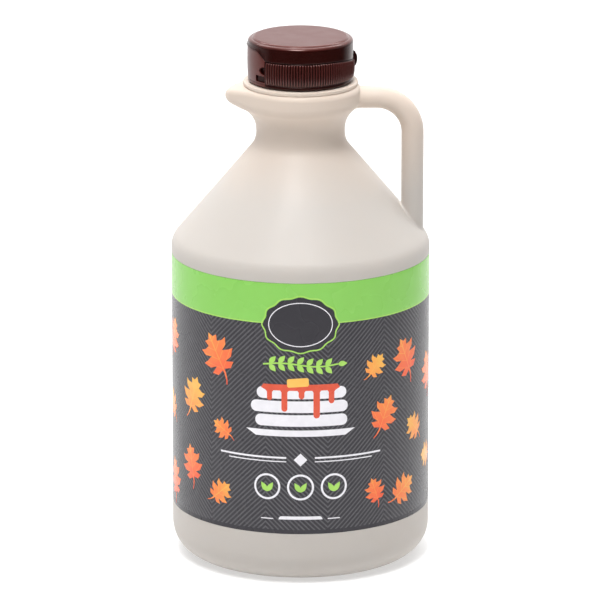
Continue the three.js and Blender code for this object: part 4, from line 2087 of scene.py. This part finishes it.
        obj = self.rib_blank().piece("cap_ribs")
        tree.run(obj, {
            "Count": self.rib_count,
            "Radius": self.root * MM,
            "Panel Half Angle": math.radians(self.panel_half + self.panel_step),
            "Hinge Half Angle": math.radians(self.hinge_clear),
            "Bottom": self.rib_bottom * MM,
            "Top": (self.split - self.rib_top_gap) * MM,
            "Dip Depth": self.dip[0] * MM,
            "Dip Span": math.radians(self.dip[1]),
            "Turn": math.radians(self.turn),
            "Material": material,
        })
        return obj

    def mark_panel(self, base: bpy.types.Object) -> None:
        """Marks the thumb panel, which is finely sanded as the lid's top is and painted paler as
        painted sheen.

        Args:
            base: The cap's base.
        """
        marks = []
        for vertex in base.data.vertices:
            x, y, _ = vertex.co / MM
            off = abs((math.degrees(math.atan2(y, x)) - self.turn) % 360.0 - 180.0)
            outside = math.hypot(x, y) > self.panel_inside
            marks.append(clamp(self.panel_half - off) if outside else 0.0)
        attribute = base.data.attributes.new(MATT_AND_PAINTED_LIGHT, "FLOAT", "POINT")
        attribute.data.foreach_set("value", marks)

    def build(self) -> None:
        """Builds the base, its ribs and the lid."""
        material = self.finish.material("gloss_brown_polypropylene")
        base = self.skirt().piece("cap_skirt")
        strap = self.strap().piece("strap")
        mend(strap)
        combine(base, strap, Joining.UNION)
        for side in (1, -1):
            for pocket in self.pockets:
                cutter = self.pocket(pocket, side).piece("pocket")
                mend(cutter)
                combine(base, cutter, Joining.CUT)
        self.mark_panel(base)
        dress(base, material, sharp=35.0)
        enrol(base, "cap_base")

        # The ribs' lighter tone is painted light, standing in for the highlights they catch.
        ribbed = self.painted_lit_rib_finish.material("gloss_brown_ribs_painted_lighter")
        ribs = self.ribs(ribbed)
        dress(ribs, ribbed, sharp=60.0)
        enrol(ribs)

        lid = self.lid().piece("cap_lid_shell")
        x = (self.hinge_root - self.gap, self.hinge_reach + self.gap)
        z = (self.hinge_z[0], self.hinge_z[1] + self.gap)
        notch = self.box(x, self.hinge_half + self.gap, z).piece("notch")
        mend(notch)
        combine(lid, notch, Joining.CUT)
        dress(lid, material, sharp=35.0)
        enrol(lid, "cap_lid")


def set_out(
    name: str, corners: Sequence[Triple], faces: Sequence[tuple[int, ...]], shading: Shading
) -> bpy.types.Object:
    """Puts one thing of the studio in the scene.

    Args:
        name: Its name.
        corners: Its corners, in metres.
        faces: Its faces, as numbers of corners.
        shading: Its material.

    Returns:
        The object.
    """
    mesh = bpy.data.meshes.new(name)
    mesh.from_pydata(corners, [], faces)
    mesh.materials.append(shading.material)
    return put(name, mesh)


@dataclass(frozen=True)
class SoftBox:
    """A soft light: where it hangs and how wide and high it is in metres, and its watts."""

    name: str
    place: Triple
    size: Pair
    power: float

    def hang(self, aim: Triple) -> None:
        """Hangs the light.

        Args:
            aim: The point that it faces.
        """
        data = bpy.data.lights.new(self.name, "AREA")
        data.shape = "RECTANGLE"
        data.size, data.size_y = self.size
        data.energy = self.power
        light = put(self.name, data)
        light.location = self.place
        towards = Vector(aim) - Vector(self.place)
        light.rotation_euler = towards.to_track_quat("-Z", "Y").to_euler()


@dataclass
class Studio:
    """The pale floor, the soft light and the camera at the photo's angle, in metres."""

    distance: float = 2.5
    elevation: float = 15.5
    aim: Triple = (-0.0002, 0.0, 0.10044)
    lens: float = 385.7
    sensor: float = 36.0
    sight: float = 50.0
    floor_half: float = 6.0
    floor_tone: Colour = (0.57, 0.57, 0.57)
    floor_glow: float = 0.46
    floor_fade: Pair = (1.6, 3.2)
    light_span: Pair = (-0.6, 1.0)
    front_light: float = 0.05
    back_light: float = 1.35
    wall_tint: Colour = (1.0, 0.995, 0.99)
    card: Triple = (0.5, 0.25, 136.0)
    card_tone: Colour = (0.01, 0.01, 0.01)
    card_fade: Pair = (-20.0, 290.0)
    card_turn: float = 18.0
    card_lift: float = 0.001
    card_steps: int = 60
    lit_point: Triple = (0.0, 0.0, 0.11)
    lights: tuple[SoftBox, ...] = (
        SoftBox("key", (-0.15, -0.62, 1.5), (0.5, 0.7), 22.0),
        SoftBox("back", (0.0, 1.0, 1.4), (2.4, 0.3), 14.0),
        SoftBox("overhead", (0.0, 0.0, 2.0), (2.0, 2.0), 13.0),
    )

    def camera(self) -> None:
        """Sets up the camera."""
        data = bpy.data.cameras.new("photo_camera")
        data.lens = self.lens
        data.sensor_width = self.sensor
        data.clip_end = self.sight
        camera = put("photo_camera", data)
        back = Vector((0.0, -cosd(self.elevation), sind(self.elevation)))
        camera.location = Vector(self.aim) + back * self.distance
        camera.rotation_euler = (-back).to_track_quat("-Z", "Y").to_euler()
        bpy.context.scene.camera = camera

    def floor(self) -> None:
        """Lays the floor, which glows a little and runs out into the white of the walls."""
        shading = Shading("white_sweep")
        shading.set(Roughness=0.7, Specular_IOR_Level=0.2, Base_Color=(*self.floor_tone, 1.0))
        shading.set(Emission_Color=(1.0, 1.0, 1.0, 1.0), Emission_Strength=self.floor_glow)
        far = shading.tree.nodes.new("ShaderNodeVectorMath")
        far.operation = "LENGTH"
        shading.tree.links.new(shading.place, far.inputs[0])
        start, end = self.floor_fade
        width = end - start
        share = shading.sum("MULTIPLY_ADD", far.outputs["Value"], -1 / width, end / width)
        share = shading.sum("MAXIMUM", share, 0.0)
        shading.feed("Alpha", shading.sum("MINIMUM", share, 1.0))
        half = self.floor_half
        corners = [(-half, -half, 0), (half, -half, 0), (half, half, 0), (-half, half, 0)]
        floor = set_out("floor", corners, [(0, 1, 2, 3)], shading)

    def dark_card(self) -> None:
        """Stands a low dark card before the jug, seen in its gloss alone, with faded ends: a
        painted dark reflection of the unlit room in front.
        """
        radius, height, half = self.card
        steps = self.card_steps
        angles = [270.0 - half + 2.0 * half * i / steps for i in range(steps + 1)]
        ring = [(radius * cosd(angle), radius * sind(angle)) for angle in angles]
        corners = [(x, y, z) for z in (self.card_lift, height) for x, y in ring]
        faces = [(i, i + 1, i + steps + 2, i + steps + 1) for i in range(steps)]
        shading = Shading("painted_dark_reflection")
        shading.set(Roughness=0.9, Specular_IOR_Level=0.0, Base_Color=(*self.card_tone, 1.0))
        faded = shading.along("Y", self.card_fade)
        shading.feed("Alpha", shading.sum("SUBTRACT", 1.0, faded))
        card = set_out("dark_card", corners, faces, shading)
        card.rotation_euler.z = math.radians(self.card_turn)
        for ray in ("camera", "diffuse", "shadow", "transmission", "volume_scatter"):
            setattr(card, "visible_" + ray, False)

    def surroundings(self) -> None:
        """Lights the jug from a room that is brighter behind it, and whose walls look white."""
        world = bpy.data.worlds.new("white_room")
        world.use_nodes = True
        tree = world.node_tree
        background = tree.nodes["Background"]
        parts = tree.nodes.new("ShaderNodeSeparateXYZ")
        tree.links.new(tree.nodes.new("ShaderNodeTexCoord").outputs["Generated"], parts.inputs[0])
        reach = tree.nodes.new("ShaderNodeMapRange")
        ends = (*self.light_span, self.front_light, self.back_light)
        for name, value in zip(("From Min", "From Max", "To Min", "To Max"), ends):
            reach.inputs[name].default_value = value
        tree.links.new(parts.outputs["Y"], reach.inputs["Value"])
        walls = tree.nodes.new("ShaderNodeMath")
        walls.operation = "MAXIMUM"
        seen = tree.nodes.new("ShaderNodeLightPath").outputs["Is Camera Ray"]
        tree.links.new(reach.outputs["Result"], walls.inputs[0])
        tree.links.new(seen, walls.inputs[1])
        tree.links.new(walls.outputs["Value"], background.inputs["Strength"])
        background.inputs["Color"].default_value = (*self.wall_tint, 1.0)
        bpy.context.scene.world = world

    def build(self) -> None:
        """Sets up everything round the jug."""
        self.camera()
        self.floor()
        self.surroundings()
        self.dark_card()
        for light in self.lights:
            light.hang(self.lit_point)
        view = bpy.context.scene.view_settings
        view.view_transform = "Standard"
        view.look = "None"


def main() -> None:
    """Builds the studio and each part of the jug."""
    logging.basicConfig(level=logging.INFO, format="%(name)s %(message)s")
    Studio().build()
    Bottle(BlownPlastic()).build()
    Label().build()
    smooth = MouldedPlastic(linear(37, 7, 5), linear(40, 8, 6))
    # The same plastic as the cap, painted lighter for the ribs: painted highlights.
    ribbed = MouldedPlastic(linear(67, 30, 27), linear(72, 33, 30), ior=1.65)
    Cap(smooth, ribbed).build()
    LOG.info("the jug stands in its studio")


if __name__ == "__main__":
    main()
